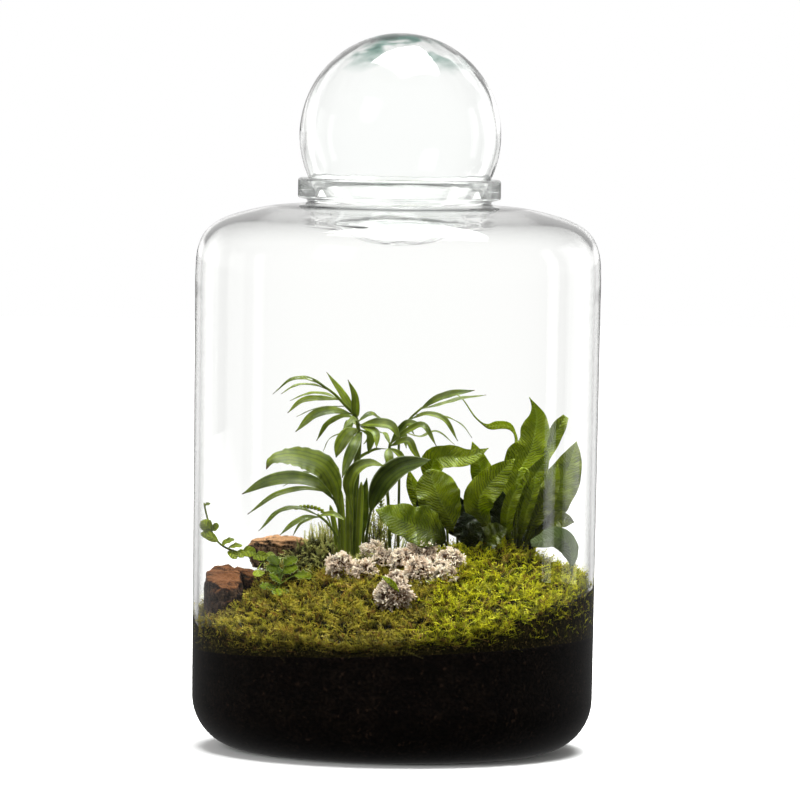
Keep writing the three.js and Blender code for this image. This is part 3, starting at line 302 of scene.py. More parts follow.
def leaf_material(name, dark, light, under, vein, gloss, glow, pale_edge=0.0, shaded=0.0, shine=0.3):
    """A leaf: its lengthwise or slanted veins, its paler underside, and light that comes through.

    pale_edge is how much its margin pales, which on the palms is a painted highlight, and shaded how much
    painted shade darkens its low parts on the right.
    """
    m = Material(name)
    fern = vein == "fern"
    across, along, _ = m.xyz(m.node("UVMap", uv_map="blade").outputs[0])
    tint, below, tip = m.shade()
    away = m.math("ABSOLUTE", across)
    if fern:
        slanted = m.times(away, UV_SPAN * RIB_SLANT / RIB_PITCH)
        phase = m.minus(m.times(along, UV_SPAN / RIB_PITCH), slanted)
        phase = m.math("MULTIPLY_ADD", m.noise(110.0, 3.0), RIB_WANDER, phase)
    else:
        phase = m.times(across, UV_SPAN / VEIN_PITCH)
    line = m.ramp(m.math("SINE", m.times(phase, 2 * math.pi)), 0.2 if fern else 0.0, 1.0)
    blotch, fine = m.noise(95.0, 4.0), m.noise(900.0, 3.0)
    tone = m.times(m.ramp(blotch, 0.3, 0.7), 0.5)
    colour = m.mix(m.math("ADD", tone, m.minus(tint, 0.27), clamp=True), dark, light)
    veined = m.times(line, m.ramp(m.noise(60.0, 2.0), 0.35, 0.6))
    colour = m.mix(veined, colour, m.toned(colour, Value=0.45 if fern else 0.72))
    # On leaves with lengthwise veins, palms and ivy: darker pleat stripes, painted shade of the folds between
    # their ribs.
    if not fern:
        turn = m.times(across, 2 * math.pi * UV_SPAN / PLEAT_PITCH)
        turn = m.math("MULTIPLY_ADD", m.noise(40.0, 2.0), PLEAT_WANDER, turn)
        pleat = m.times(m.ramp(m.math("SINE", turn), -0.1, 0.9), 0.7)
        colour = m.mix(pleat, colour, m.toned(colour, Value=0.5))
    # Painted shade: the left half of the blade is darker, as the side of its fold turned from the light.
    colour = m.mix(m.ramp(across, -0.012, 0.012), m.toned(colour, Value=0.68), colour)
    midrib = m.times(m.ramp(away, 0.009, 0.004), 0.5)
    colour = m.mix(midrib, colour, m.toned(colour, Value=1.5, Saturation=0.85))
    # On the palms the pale margin is a painted highlight along the leaf edge; on the ivy it is the leaf's own
    # pale margin.
    if pale_edge:
        edge = m.ramp(m.node("Attribute", attribute_name="edge").outputs["Fac"], 0.82, 1.0)
        colour = m.mix(m.times(edge, pale_edge), colour, PALE_MARGIN)
    colour = m.mix(m.times(below, 0.75), colour, under)
    colour = m.mix(m.ramp(tip, 0.3, 0.9), colour, DEAD_TIP)
    # Painted shade: the low parts of the fern mass, right of the middle, darken where the leaves above would
    # shade them.
    if shaded:
        x, _, z = m.xyz()
        low = m.ramp(m.math("MULTIPLY_ADD", blotch, 0.03, z), 0.228, 0.155)
        low = m.times(low, m.ramp(x, 0.012, 0.036))
        colour = m.mix(low, colour, m.toned(colour, Value=1 - shaded))
    height = m.plus(m.times(line, -0.6), m.times(fine, 0.25))
    relief = m.bump(height, 0.8, 0.0006 if fern else 0.0003)
    roughness = m.plus(m.times(fine, 0.18), gloss - 0.05)
    lit = m.toned(colour, Value=1.7, Saturation=1.15)
    return m.thin_surface(glow, colour, lit, roughness, shine, Normal=relief)


def strand_material(name, base, tip, dead):
    """Moss strands: dark at the foot and dim near the soil, both painted shade, bright at the tip, some of
    them dying off.
    """
    m = Material(name)
    height, kind, depth = m.shade()
    # Painted shade: near black at the foot, inside the cushion, and bright at the tip
    colour = m.mix(m.ramp(height, 0.15, 0.95), base, tip)
    colour = m.mix(m.ramp(kind, 0.35, 0.0), colour, m.toned(colour, Hue=0.53, Value=0.7))
    brown = m.ramp(m.plus(kind, m.times(m.noise(60.0, 3.0), 0.5)), 1.02, 1.25)
    colour = m.mix(brown, colour, dead)
    colour = m.mix(m.ramp(m.noise(110.0, 3.0), 0.54, 0.38), colour, m.toned(colour, Value=0.35))
    # Painted shade toward the soil, from the third number of each point
    colour = m.mix(m.times(depth, 0.9), colour, MOSS_PAINTED_SHADE)
    return m.thin_surface(0.4, colour, colour, 0.6, 0.15)


def earth_material(name, dark, light, speck, scale, bump_size, roughness=0.9, specks=0.66):
    """Crumbly ground: grains of two tones, darker patches, and specks of a third tone."""
    m = Material(name)
    grain = m.noise(scale, 6.0)
    colour = m.mix(m.ramp(grain, 0.35, 0.75), dark, light)
    patches = m.ramp(m.noise(scale * 0.14, 4.0), 0.4, 0.62)
    colour = m.mix(patches, m.toned(colour, Value=0.55), colour)
    bits = m.node("TexVoronoi", Scale=scale * 0.8, Vector=m.place()).outputs["Color"]
    share = m.ramp(m.node("SeparateColor", Color=bits).outputs[0], specks, specks + 0.3)
    colour = m.mix(m.times(share, m.ramp(grain, 0.5, 0.6)), colour, speck)
    return m.surface(m.principled(Base_Color=colour, Roughness=roughness, Specular_IOR_Level=0.06,
                                  Normal=m.bump(grain, 0.8, bump_size)))


def rock_material(name, rust, grey, dark):
    """Layered stone: in the rust tone where it faces up, partly painted light from above, streaked grey-brown
    on its sides, and cracked.
    """
    m = Material(name)
    streak = m.noise(420.0, 7.0, m.stretched(1.0, 1.0, 0.22))
    blotch, grain = m.noise(90.0, 6.0), m.noise(1500.0, 5.0)
    up = m.xyz(m.node("NewGeometry").outputs["Normal"])[2]
    # Painted light in part: faces that look up take the lighter rust tone.
    topside = m.ramp(m.plus(up, m.times(blotch, 0.5)), 0.45, 0.85)
    side = m.mix(m.ramp(streak, 0.42, 0.62), dark, grey)
    colour = m.mix(m.times(topside, 0.85), side, rust)
    colour = m.mix(m.times(m.ramp(blotch, 0.52, 0.72), 0.6), colour, rust)
    colour = m.mix(m.ramp(grain, 0.55, 0.35), colour, m.toned(colour, Value=0.5))
    aside = m.minus(m.noise(75.0, 5.0, m.stretched(0.5, 1.0, 2.6)), 0.5)
    crack = m.ramp(m.math("ABSOLUTE", aside), 0.022, 0.004)
    colour = m.mix(m.times(crack, 0.85), colour, m.toned(colour, Value=0.25))
    height = m.minus(m.math("MULTIPLY_ADD", grain, 0.4, streak), crack)
    return m.surface(m.principled(Base_Color=colour, Roughness=0.8, Specular_IOR_Level=0.1,
                                  Normal=m.bump(height, 0.9, 0.0011)))


def lichen_material():
    """Lichen twigs: brown at heart, and pale at their tips in a tone of their own each."""
    m = Material("lichen_branches")
    height, tint, _ = m.shade()
    tips = m.mix(tint, rgb(0.84, 0.7, 0.57), rgb(1.0, 0.94, 0.83))
    colour = m.mix(m.ramp(height, 0.45, 0.85), rgb(0.2, 0.1, 0.045), tips)
    return m.thin_surface(0.35, colour, colour, 0.85, 0.1)


JAR_GLASS = glass_material("jar_glass", rgb(0.99, 0.995, 0.99), clear_from=0.404)
BALL_GLASS = glass_material("ball_glass", rgb(0.982, 0.992, 0.987), rgb(0.05, 0.23, 0.17))
PALM = leaf_material("palm_leaf", rgb(0.065, 0.1, 0.005), rgb(0.3, 0.36, 0.036), rgb(0.3, 0.36, 0.09),
                     "palm", 0.3, 0.4, pale_edge=0.35)
PALM_DARK = leaf_material("palm_dark", rgb(0.03, 0.05, 0.003), rgb(0.11, 0.15, 0.012),
                          rgb(0.14, 0.18, 0.04), "palm", 0.34, 0.3, pale_edge=0.5, shine=0.15)
FERN = leaf_material("fern_leaf", rgb(0.035, 0.065, 0.003), rgb(0.32, 0.385, 0.008),
                     rgb(0.28, 0.34, 0.03), "fern", 0.25, 0.42, shaded=0.85)
# A darker copy of the fern colours: painted shade for the blades that stand deep in the crown.
FERN_PAINTED_SHADE = leaf_material("fern_dark", rgb(0.008, 0.016, 0.002), rgb(0.045, 0.065, 0.006),
                          rgb(0.05, 0.07, 0.01), "fern", 0.25, 0.3, shaded=0.6)
STRAP = leaf_material("strap_leaf", rgb(0.09, 0.13, 0.04), rgb(0.22, 0.28, 0.11),
                      rgb(0.26, 0.32, 0.16), "fern", 0.3, 0.42)
FIG = leaf_material("fig_leaf", rgb(0.09, 0.13, 0.004), rgb(0.33, 0.39, 0.015),
                    rgb(0.34, 0.38, 0.05), "fern", 0.42, 0.45, shine=0.12)
IVY = leaf_material("ivy_leaf", rgb(0.03, 0.06, 0.001), rgb(0.19, 0.25, 0.003),
                    rgb(0.15, 0.2, 0.01), "palm", 0.42, 0.34, pale_edge=0.5, shine=0.05)
LICHEN = lichen_material()
MOSS_BRIGHT = strand_material("moss_bright", rgb(0.012, 0.011, 0.001), rgb(0.7, 0.67, 0.025),
                              rgb(0.26, 0.15, 0.03))
MOSS_OLIVE = strand_material("moss_olive", rgb(0.01, 0.008, 0.002), rgb(0.5, 0.41, 0.045),
                             rgb(0.26, 0.13, 0.03))
MOSS_PALE = strand_material("moss_pale", rgb(0.03, 0.028, 0.008), rgb(0.78, 0.76, 0.25), rgb(0.3, 0.25, 0.08))
UNDER_MOSS = earth_material("under_moss", rgb(0.006, 0.005, 0.0015), rgb(0.035, 0.028, 0.006),
                            rgb(0.09, 0.06, 0.02), 700.0, 0.0008)
SOIL = earth_material("soil", rgb(0.0014, 0.0009, 0.0006), rgb(0.009, 0.0055, 0.0035),
                      rgb(0.045, 0.024, 0.014), 420.0, 0.0012, 0.95, 0.86)
PEAT = earth_material("peat", rgb(0.003, 0.002, 0.0015), rgb(0.02, 0.013, 0.008),
                      rgb(0.05, 0.03, 0.015), 800.0, 0.0008)
RUST_STONE = rock_material("rust_stone", rgb(0.15, 0.055, 0.017), rgb(0.075, 0.046, 0.03),
                           rgb(0.018, 0.011, 0.009))
DARK_STONE = rock_material("dark_stone", rgb(0.4, 0.21, 0.1), rgb(0.25, 0.155, 0.095),
                           rgb(0.035, 0.02, 0.013))


# Glass

def lathe(name, profile, material, replaced, segments, stretch=None):
    """A closed ring of profile points turned round the Z axis. stretch moves the points of a piece."""
    turn = np.linspace(0, 2 * math.pi, segments, endpoint=False)
    points = np.stack([np.outer(profile[:, 0], np.cos(turn)), np.outer(profile[:, 0], np.sin(turn)),
                       np.repeat(profile[:, 1:2], segments, 1)], 2).reshape(-1, 3)
    on_axis = profile[:, 0] < 1e-6
    faces = []
    for face in ring_faces(len(profile), segments).tolist():
        merged = list(dict.fromkeys(i - i % segments if on_axis[i // segments] else i for i in face))
        if len(merged) > 2:
            faces.append(merged)
    if stretch:
        points = stretch(points)
    used = sorted({i for face in faces for i in face})
    order = {old: new for new, old in enumerate(used)}
    mesh_piece(name, points[used], [[order[i] for i in face] for face in faces], material, replaced)


def arc(centre, height, radius, start, end, count, radius_up=None):
    angle = np.radians(np.linspace(start, end, count))
    return np.stack([centre + radius * np.cos(angle), height + (radius_up or radius) * np.sin(angle)], 1)


def bend_through(points, count):
    """A smooth profile through a few given points."""
    places, _, _ = curve_through([(r, z, 0) for r, z in points], count)
    return places[:, :2]


def make_jar():
    outside = np.vstack([
        [(0.0, 0.0)],
        arc(FOOT_RADIUS, CORNER_RADIUS, CORNER_RADIUS, -90, 0, 18),
        bend_through([(WALL_HIGH - 0.1, WALL_TOP - 20), (WALL_HIGH, WALL_TOP), (148.6, 369), (143.3, 381.5),
                      (131.5, 391), (99, 400.7), (70.5, 403.7)], 44),
        bend_through([(67.9, 404.6), (68.4, 406.2), (72.6, 407.4)], 8),
        arc(LIP_OUTER - 1.8, 409.4, 1.8, -70, 0, 6),
        arc(LIP_OUTER - 2.0, LIP_TOP - 2.0, 2.0, 0, 90, 7),
    ])
    inside = np.vstack([
        arc(LIP_INNER + 1.25, LIP_TOP - 1.25, 1.25, 90, 180, 6),
        bend_through([(67.0, 416), (64.2, 407), (62.9, 403), (66.5, 400.2), (97, 396.6), (129.5, 387),
                      (140, 378.5), (144.7, 367.5), (WALL_HIGH - WALL_THICKNESS, WALL_TOP)], 60),
        arc(INNER_WALL_LOW - INNER_CORNER_RADIUS, INNER_WALL_BOTTOM, INNER_CORNER_RADIUS, 0, -90, 14),
        [(0.0, FLOOR_THICKNESS)],
    ])
    lathe("glass_jar", np.vstack([outside, inside]), JAR_GLASS, ["jar"], 176)


def make_ball():
    inner, inner_high = BALL_RADIUS - BALL_WALL, BALL_HALF_HEIGHT - BALL_WALL
    profile = np.vstack([
        arc(0, BALL_CENTRE, inner, 90, -90 + math.degrees(math.asin(BLOW_HOLE / inner)), 56, inner_high),
        arc(0, BALL_CENTRE, BALL_RADIUS, -90 + math.degrees(math.asin(BLOW_HOLE / BALL_RADIUS)), 90, 72,
            BALL_HALF_HEIGHT),
    ])
    profile[[0, -1], 0] = 0.0

    def ripple(points):
        """The inner face is a little uneven, as in blown glass."""
        away = points - [0, 0, BALL_CENTRE]
        reach = np.linalg.norm(away, axis=1)
        inside = reach < inner + 1.0
        swell = 0.35 * smooth_noise(points, 34.0, 3.0) + 0.12 * smooth_noise(points * [1, 1, 0.35], 9.0, 8.0)
        return points + away / reach[:, None] * (swell * inside)[:, None]

    lathe("glass_ball", profile, BALL_GLASS, ["ball_stopper"], 160, ripple)


# Leaves

def powers(a, b):
    """A form whose half width, from 0 at both ends, is 1 where it is widest."""
    widest = a / (a + b)
    most = widest ** a * (1 - widest) ** b
    return lambda s: np.clip(s, 0, 1) ** a * (1 - np.clip(s, 0, 1)) ** b / most


def drawn(*points):
    """A form through pairs of a share of the length and a share of the half width."""
    shares, halves = zip(*points)
    return lambda s: np.interp(s, shares, halves)


FORMS = {
    "lance": powers(0.95, 0.95),
    "spear": powers(0.35, 0.9),
    "broad": drawn((0, 0.1), (0.18, 0.62), (0.4, 1), (0.62, 0.94), (0.82, 0.6), (0.93, 0.28), (1, 0)),
    "blunt": drawn((0, 0.1), (0.3, 0.7), (0.55, 1), (0.8, 0.86), (0.93, 0.5), (1, 0.1)),
    "hood": drawn((0, 0.1), (0.2, 0.5), (0.38, 0.74), (0.53, 1), (0.6, 0.9), (0.66, 0.62), (0.75, 0.72),
                  (0.85, 0.42), (0.92, 0.14), (1, 0)),
    "forked": drawn((0, 0.2), (0.4, 0.5), (0.7, 1), (0.9, 0.9), (1, 0.4)),
    "tailed": drawn((0, 0.2), (0.3, 0.3), (0.38, 0.9), (0.5, 1), (0.6, 0.22), (1, 0.1)),
    "wavy": drawn((0, 0.15), (0.2, 0.7), (0.38, 1), (0.52, 0.76), (0.72, 0.72), (0.88, 0.4), (1, 0)),
    "level": drawn((0, 0.3), (0.25, 1), (0.6, 0.95), (0.82, 0.55), (1, 0)),
    "cape": drawn((0, 0.1), (0.14, 0.55), (0.3, 0.95), (0.5, 1), (0.75, 0.8), (1, 0.3)),
    "strap": powers(0.45, 0.28),
    "round": powers(0.5, 0.45),
}
STIPE, WINGED_STIPE, BLADE = 1.9, 2.0, 0.5
# The pitch of crinkles in mm and their slant, and how often a margin goes in and out
CRINKLE_PITCH, CRINKLE_SLANT, LOBE_TURNS = 7.0, 0.9, 22
# How far the left margin is out of step with the right one, in waves and in ruffles
WAVE_STEP, RUFFLE_STEP = 2.2, 1.7
# Half the least width of a blade, and the height and half the width of its midrib
LEAST_HALF, RIB_HEIGHT, RIB_HALF = 0.36, 0.5, 0.55


def around(upper, lower):
    """Values for the ring round a blade: along its upper face and back along its lower one."""
    return np.concatenate([upper, lower[:, -2:0:-1]], 1)


def add_leaf(builder, path, width, form="lance", face=(0, -0.8, 0.6), fold=0.3, wave=0.0, waves=2.0,
             stipe=0.0, rows=30, columns=8, ruffle=0.0, ruffles=6.0, tint=0.5, brown_tip=0.0, crinkle=0.1,
             thick=BLADE, lobes=0.0, phase=0.0, petiole=STIPE / 2):
    """One blade along a path, with the sections of an eye: thin at its margins, thicker at the midrib."""
    places, ways, length = curve_through(path, rows)
    side, normal = frame_along(ways, np.asarray(face, float) / np.linalg.norm(face))
    s = np.linspace(0, 1, rows)
    inside = np.clip((s - stipe) / max(1 - stipe, 1e-6), 0, 1)
    swollen = petiole - LEAST_HALF if stipe > 0 else 0.35
    blunt = np.where(inside > 0.5, LEAST_HALF, LEAST_HALF + swollen * (1 - 2 * inside))
    shape = np.convolve(np.pad(FORMS[form](inside), 1, "edge"), [0.25, 0.5, 0.25], "valid")
    shape = shape * (1 + lobes * np.sin(inside * LOBE_TURNS + phase))
    half = np.where(inside > 0, np.maximum(shape * width / 2, blunt), blunt)
    spread = np.minimum(half / (width / 2), 1)[:, None]
    base_thick = 2 * petiole if stipe > 0 else thick * 1.6
    body = np.maximum(thick, base_thick + (thick - base_thick) * np.minimum(inside * 4, 1))[:, None]
    across = np.sin(np.linspace(-math.pi / 2, math.pi / 2, columns + 1))[None, :]
    out, left, at = np.abs(across), across < 0, across * half[:, None]
    big = wave * spread * out * np.sin(2 * math.pi * waves * s[:, None] + WAVE_STEP * left)
    beat = 2 * math.pi * ruffles * inside[:, None] + phase + RUFFLE_STEP * left
    beat = beat + 0.9 * np.sin(0.61 * beat + phase)
    small = ruffle * spread * out ** 1.6 * np.sin(beat)
    slant = 2 * math.pi * (length * s[:, None] - CRINKLE_SLANT * out * half[:, None]) / CRINKLE_PITCH
    folds = crinkle * min(width / 14, 1) * spread * np.sin(math.pi * out) * np.sin(slant + phase)
    lift = out * half[:, None] * fold * spread + big + small + folds
    margin = np.sqrt(np.maximum(1 - across ** 2, 0))
    rib = RIB_HEIGHT * np.exp(-(at / RIB_HALF) ** 2) * (1 - s[:, None]) * (width > 6)
    centre = places[:, None, :] + side[:, None, :] * at[..., None]
    above = centre + normal[:, None, :] * (lift + (body / 2) * margin)[..., None]
    below = centre + normal[:, None, :] * (lift - (body / 2 + rib) * margin)[..., None]
    ring = around(above, below)
    sides = ring.shape[1]
    margins = np.broadcast_to(out, at.shape)
    edge, under = around(margins, margins), around(0 * at, 0 * at + 1)
    dead = (inside - (1 - brown_tip)) / brown_tip if brown_tip else 0 * inside
    tip = np.repeat(np.clip(dead, 0, 1)[:, None], sides, 1)
    uv = np.stack([around(at, at), np.repeat((length * s)[:, None], sides, 1)], 2) / UV_SPAN
    shade = np.stack([np.full(tip.shape, tint), under, tip], 2)
    builder.add(ring.reshape(-1, 3), tube_faces(rows, sides), shade.reshape(-1, 3), uv.reshape(-1, 2),
                edge.ravel())


def add_stem(builder, path, radius, end_radius, rows, sides=10, tint=0.5):
    """A round stem along a path."""
    places, ways, length = curve_through(path, rows)
    side, normal = frame_along(ways, np.array([0.31, -0.95, 0.05]))
    turn = np.linspace(0, 2 * math.pi, sides, endpoint=False)[None, :, None]
    reach = side[:, None, :] * np.cos(turn) + normal[:, None, :] * np.sin(turn)
    ring = places[:, None, :] + np.linspace(radius, end_radius, rows)[:, None, None] * reach
    u = np.repeat(np.cos(turn)[..., 0] * radius, rows, 0)
    v = np.repeat(np.linspace(0, length, rows)[:, None], sides, 1)
    builder.add(ring.reshape(-1, 3), tube_faces(rows, sides), (tint, 0.0, 0.0),
                np.stack([u, v], 2).reshape(-1, 2) / UV_SPAN)


# Ground

def mound(x, y, cx, cy, wx, wy):
    return np.exp(-(((x - cx) / wx) ** 2) - ((y - cy) / wy) ** 2)


# The level between the mounds, and the height, middle and half widths of each
BETWEEN_MOUNDS = 139
MOUNDS = [(30, 88, 8, 48, 42), (34, -85, 28, 38, 38), (14, -54, 26, 26, 24), (12, -13, -20, 18, 14)]


def ground_core(x, y):
    return sum((height * mound(x, y, *where) for height, *where in MOUNDS), BETWEEN_MOUNDS)


def ground_top(x, y, edge, sink):
    """A surface that is at the height edge along the glass, and sink below the mounds inside."""
    share = 1 - np.minimum(np.hypot(x, y) / INNER_WALL_LOW, 1) ** 1.5
    return edge + (ground_core(x, y) - sink - edge) * share


def moss_top(x, y):
    a = np.arctan2(y, x)
    edge = 104 + 14 * np.cos(a) + 9 * np.sin(a) + 8 * np.cos(2 * a)
    return ground_top(x, y, edge, 0) + 1.6 * np.sin(x / 9 + 1) * np.sin(y / 8) + 1.1 * np.sin((x + y) / 5.3)


def soil_edge(x, y):
    a = np.arctan2(y, x)
    return 80.2 + 6.5 * np.cos(a) - np.sin(a)


def soil_top(x, y):
    return ground_top(x, y, soil_edge(x, y), 14)


PLUG_X, PLUG_Y, PLUG_RADIUS, PLUG_HIGH = 91, 18, 15, 152
ROOT_DEPTH, CROWN_ROOT_DEPTH = 10, 6


def rooted(x, y, path):
    """The upright start of a path that is rooted in the ground or in the root block."""
    in_plug = math.hypot(x - PLUG_X, y - PLUG_Y) < PLUG_RADIUS
    surface = PLUG_HIGH if in_plug else float(moss_top(x, y))
    depth = CROWN_ROOT_DEPTH if in_plug else ROOT_DEPTH
    return [(x, y, surface - depth), (x, y, surface - depth / 2), (x, y, surface + 2.5), *path]


FORWARD, FRONT, UP, BACK = (0, -1, 0.25), (0, -0.85, 0.5), (0, -0.45, 0.9), (0, 0.3, 0.95)

# Fern nodes that are one blade each, or two out of one root
FERN_LEAVES = {
    "fern_right_hood_leaf": dict(
        root=(92, 22), width=32, form="hood", stipe=0.12, waves=3, fold=0.1, ruffle=2.4, ruffles=8, tint=0.85,
        path=[(89, 23, 170), (89, 25, 188), (93, 26, 207), (101, 27, 223), (104, 28, 237), (105, 27, 248),
              (103, 24, 256), (99, 21, 263)]),
    "fern_right_lobed_leaf": dict(
        root=(88, 14), width=17, tint=0.7, ruffle=1.8, ruffles=7,
        path=[(96, 15, 185), (103, 14, 202), (110, 12, 214), (114, 10, 223)]),
    "fern_right_tailed_leaf": dict(
        root=(83, 24), width=6.5, form="tailed", stipe=0.42, wave=0.4, rows=70, tint=0.8,
        path=[(85, 33, 180), (88, 37, 215), (90, 38, 232), (85, 38, 240), (77, 38, 241), (69, 37, 240),
              (60, 35, 246), (48, 33, 262), (40, 32, 266)]),
    "fern_right_forked_leaf": dict(
        root=(96, 27), width=12, form="forked", stipe=0.3, tint=0.9, ruffle=1.1, ruffles=6,
        path=[(101, 36, 184), (110, 41, 212), (117, 43, 228), (123, 44, 240), (128, 45, 248)]),
    "fern_right_outer_leaf": dict(
        root=(101, 18), width=30, stipe=0.14, waves=1.5, face=(-0.1, -1, 0.15), tint=0.8, ruffle=1.4,
        ruffles=7,
        path=[(105, 12, 165), (111, 8, 177), (118, 4, 191), (126, 2, 205), (131, 0, 219), (134, -1, 231)]),
    "fern_right_ruffled_leaf": dict(
        root=(98, 10), width=17, wave=2.4, waves=3, stipe=0.2, tint=0.9, ruffle=2.4, ruffles=6,
        path=[(103, 3, 170), (110, 0, 185), (116, -4, 200), (120, -8, 214)]),
    "fern_right_strap_leaf": dict(
        root=(86, 8), width=10.5, form="strap", stipe=0.2, wave=1.6, waves=3, tint=0.85, ruffle=1.3,
        path=[(83, -6, 171), (86, -13, 187), (92, -16, 200)]),
    "fern_right_tongue_leaf": dict(
        root=(93, 8), width=9, form="strap", stipe=0.2, wave=1.4, waves=3, tint=0.8, ruffle=1.1,
        path=[(96, -3, 171), (100, -9, 187), (103, -12, 198), (103, -14, 205)]),
    "fern_right_curled_leaf": dict(
        root=(82, 12), width=24, form="lance", stipe=0.26, tint=0.75, ruffle=1.5,
        path=[(73, 5, 163), (63, -1, 177), (63, -6, 189), (71, -9, 200), (80, -10, 210), (88, -10, 218)]),
    "fern_right_dark_leaf": dict(
        root=(81, 19), width=22, stipe=0.14, tint=0.4, ruffle=1.6,
        path=[(79, 14, 163), (78, 12, 178), (79, 12, 194)]),
    "fern_right_shade_leaf": dict(
        root=(97, 23), width=28, stipe=0.3, tint=0.3, ruffle=1.6,
        path=[(105, 30, 168), (113, 34, 184), (119, 36, 200)]),
    "fern_right_skirt_leaf": dict(
        root=(103.5, 13), width=19, stipe=0.26, face=(-0.2, -0.8, 0.5), tint=0.75, ruffle=1.6,
        path=[(108, 7, 162), (116, 1, 169), (125, -4, 172), (133, -7, 171)]),
    "fern_right_back_leaf": dict(
        root=(91, 29), width=26, face=(0, 0.5, 0.85), tint=0.6, ruffle=1.6,
        path=[(93, 38, 170), (99, 52, 190), (104, 66, 202), (106, 79, 200)]),
    "fern_right_low_back_leaf": dict(
        root=(83, 28.5), width=22, face=(-0.3, 0.4, 0.85), tint=0.5, ruffle=1.6,
        path=[(78, 38, 165), (68, 52, 174), (57, 64, 174)]),
    "fern_mid_shade_leaf": dict(
        root=(62, 30), width=34, stipe=0.28, tint=0.25, ruffle=2.0,
        path=[(62, 30, 162), (63, 29, 174), (66, 28, 190)],
        second=dict(width=26, stipe=0.2, path=[(56, 28, 158), (47, 25, 172), (44, 24, 190)])),
    "fern_mid_low_leaf": dict(
        root=(63, -4), width=22, stipe=0.4, face=(0.1, -0.8, 0.6), tint=0.55, ruffle=1.8,
        path=[(66, -10, 153), (74, -16, 161), (83, -20, 166)]),
    "fern_left_level_leaf": dict(
        root=(40, 10), width=18, form="level", stipe=0.5, waves=1.5, rows=64, tint=0.8, ruffle=1.0,
        path=[(38, 12, 170), (31, 14, 188), (27, 12, 203), (29, 9, 215), (40, 6, 218), (54, 6, 218),
              (69, 7, 225)]),
    "fern_left_back_leaf": dict(
        root=(52, 12), width=18, stipe=0.4, tint=0.75, ruffle=1.2,
        path=[(59, 17, 166), (66, 20, 184), (66, 22, 200), (62, 21, 214), (57, 20, 229)]),
    "fern_left_broad_leaf": dict(
        root=(47, 0), width=33, form="blunt", waves=1.5, stipe=0.32, tint=0.7, ruffle=1.8,
        path=[(46, -4, 162), (39, -7, 176), (33, -8, 187), (29, -7, 197), (25, -5, 209)]),
    "fern_left_glossy_leaf": dict(
        root=(40, -8), width=35, form="wavy", stipe=0.3, face=(0, -0.9, 0.45), tint=0.5, ruffle=2.4,
        ruffles=5,
        path=[(37, -17, 156), (29, -24, 163), (15, -28, 168), (1, -31, 174), (-14, -32, 180)]),
    "fern_left_low_leaf": dict(
        root=(54, -9), width=21, stipe=0.36, tint=0.35, ruffle=1.6,
        path=[(55, -11, 154), (54, -12, 165), (51, -12, 178)],
        second=dict(width=17, stipe=0.2, path=[(57, -15, 155), (58, -21, 163), (63, -26, 171)])),
    "fern_left_pale_leaf": dict(
        root=(31, 8), width=14, form="lance", stipe=0.3, tint=0.95, ruffle=0.9,
        path=[(28, 7, 169), (19, 9, 185), (13, 10, 196), (10, 10, 208)]),
    "fern_left_slender_leaf": dict(
        root=(36, 0), width=13, form="lance", stipe=0.3, tint=0.5, ruffle=0.8,
        path=[(33, 2, 161), (25, 1, 173), (20, 1, 183), (19, 1, 192)]),
}
# Blades deep in the crown, which take the painted-shade copy of the fern colours
FERN_LEAVES_IN_SHADE = {"fern_right_dark_leaf", "fern_right_shade_leaf", "fern_right_low_back_leaf",
             "fern_mid_shade_leaf", "fern_left_low_leaf", "fern_left_slender_leaf"}
FERN_HABIT = dict(form="broad", face=FORWARD, stipe=0.24, fold=0.28, wave=2.0, rows=50, columns=16, ruffles=5,
                  crinkle=0.75)


def finish_leaf(builder, node, material, slot):
    piece = builder.piece("fine_" + node, material, [node], slot)
    layer = piece.data.attributes.new("edge", "FLOAT", "POINT")
    layer.data.foreach_set("value", np.concatenate(builder.edge))


def make_ferns():
    for order, (node, spec) in enumerate(FERN_LEAVES.items()):
        spec = FERN_HABIT | dict(phase=order * 1.3) | spec
        spec["path"] = rooted(*spec.pop("root"), spec["path"])
        spec["petiole"] = WINGED_STIPE if node.startswith("fern_right") else STIPE / 2
        second = spec.pop("second", None)
        builder = Builder()
        add_leaf(builder, **spec)
        if second:
            from_stipe = [spec["path"][2], *second["path"]]
            add_leaf(builder, **(spec | second | dict(path=from_stipe, phase=order + 4.0)))
        dark = node in FERN_LEAVES_IN_SHADE
        finish_leaf(builder, node, FERN_PAINTED_SHADE if dark else FERN, "fern_dark" if dark else "fern_leaf")
    builder = Builder()
    coil = rooted(90, 6, [(90, 2, 171), (93, -3, 194), (98, -6, 204), (98, -6, 209), (94, -7, 211),
                          (91, -7, 208)])
    add_stem(builder, coil, 1.1, 0.9, rows=60, tint=0.9)
    finish_leaf(builder, "fern_right_fiddlehead", FERN, "fern_leaf")
    builder = Builder()
    bow = rooted(131, -14, [(131, -14, 134), (131, -15, 146), (128, -14, 156), (119, -12, 160),
                            (109, -10, 157), (101, -9, 155)])
    add_leaf(builder, bow, 17, "cape", (-0.5, -0.8, 0.1), wave=0.8, stipe=0.3, rows=50, columns=16,
             ruffle=0.5, tint=0.7)
    finish_leaf(builder, "edge_strap_leaf", STRAP, "strap_leaf")


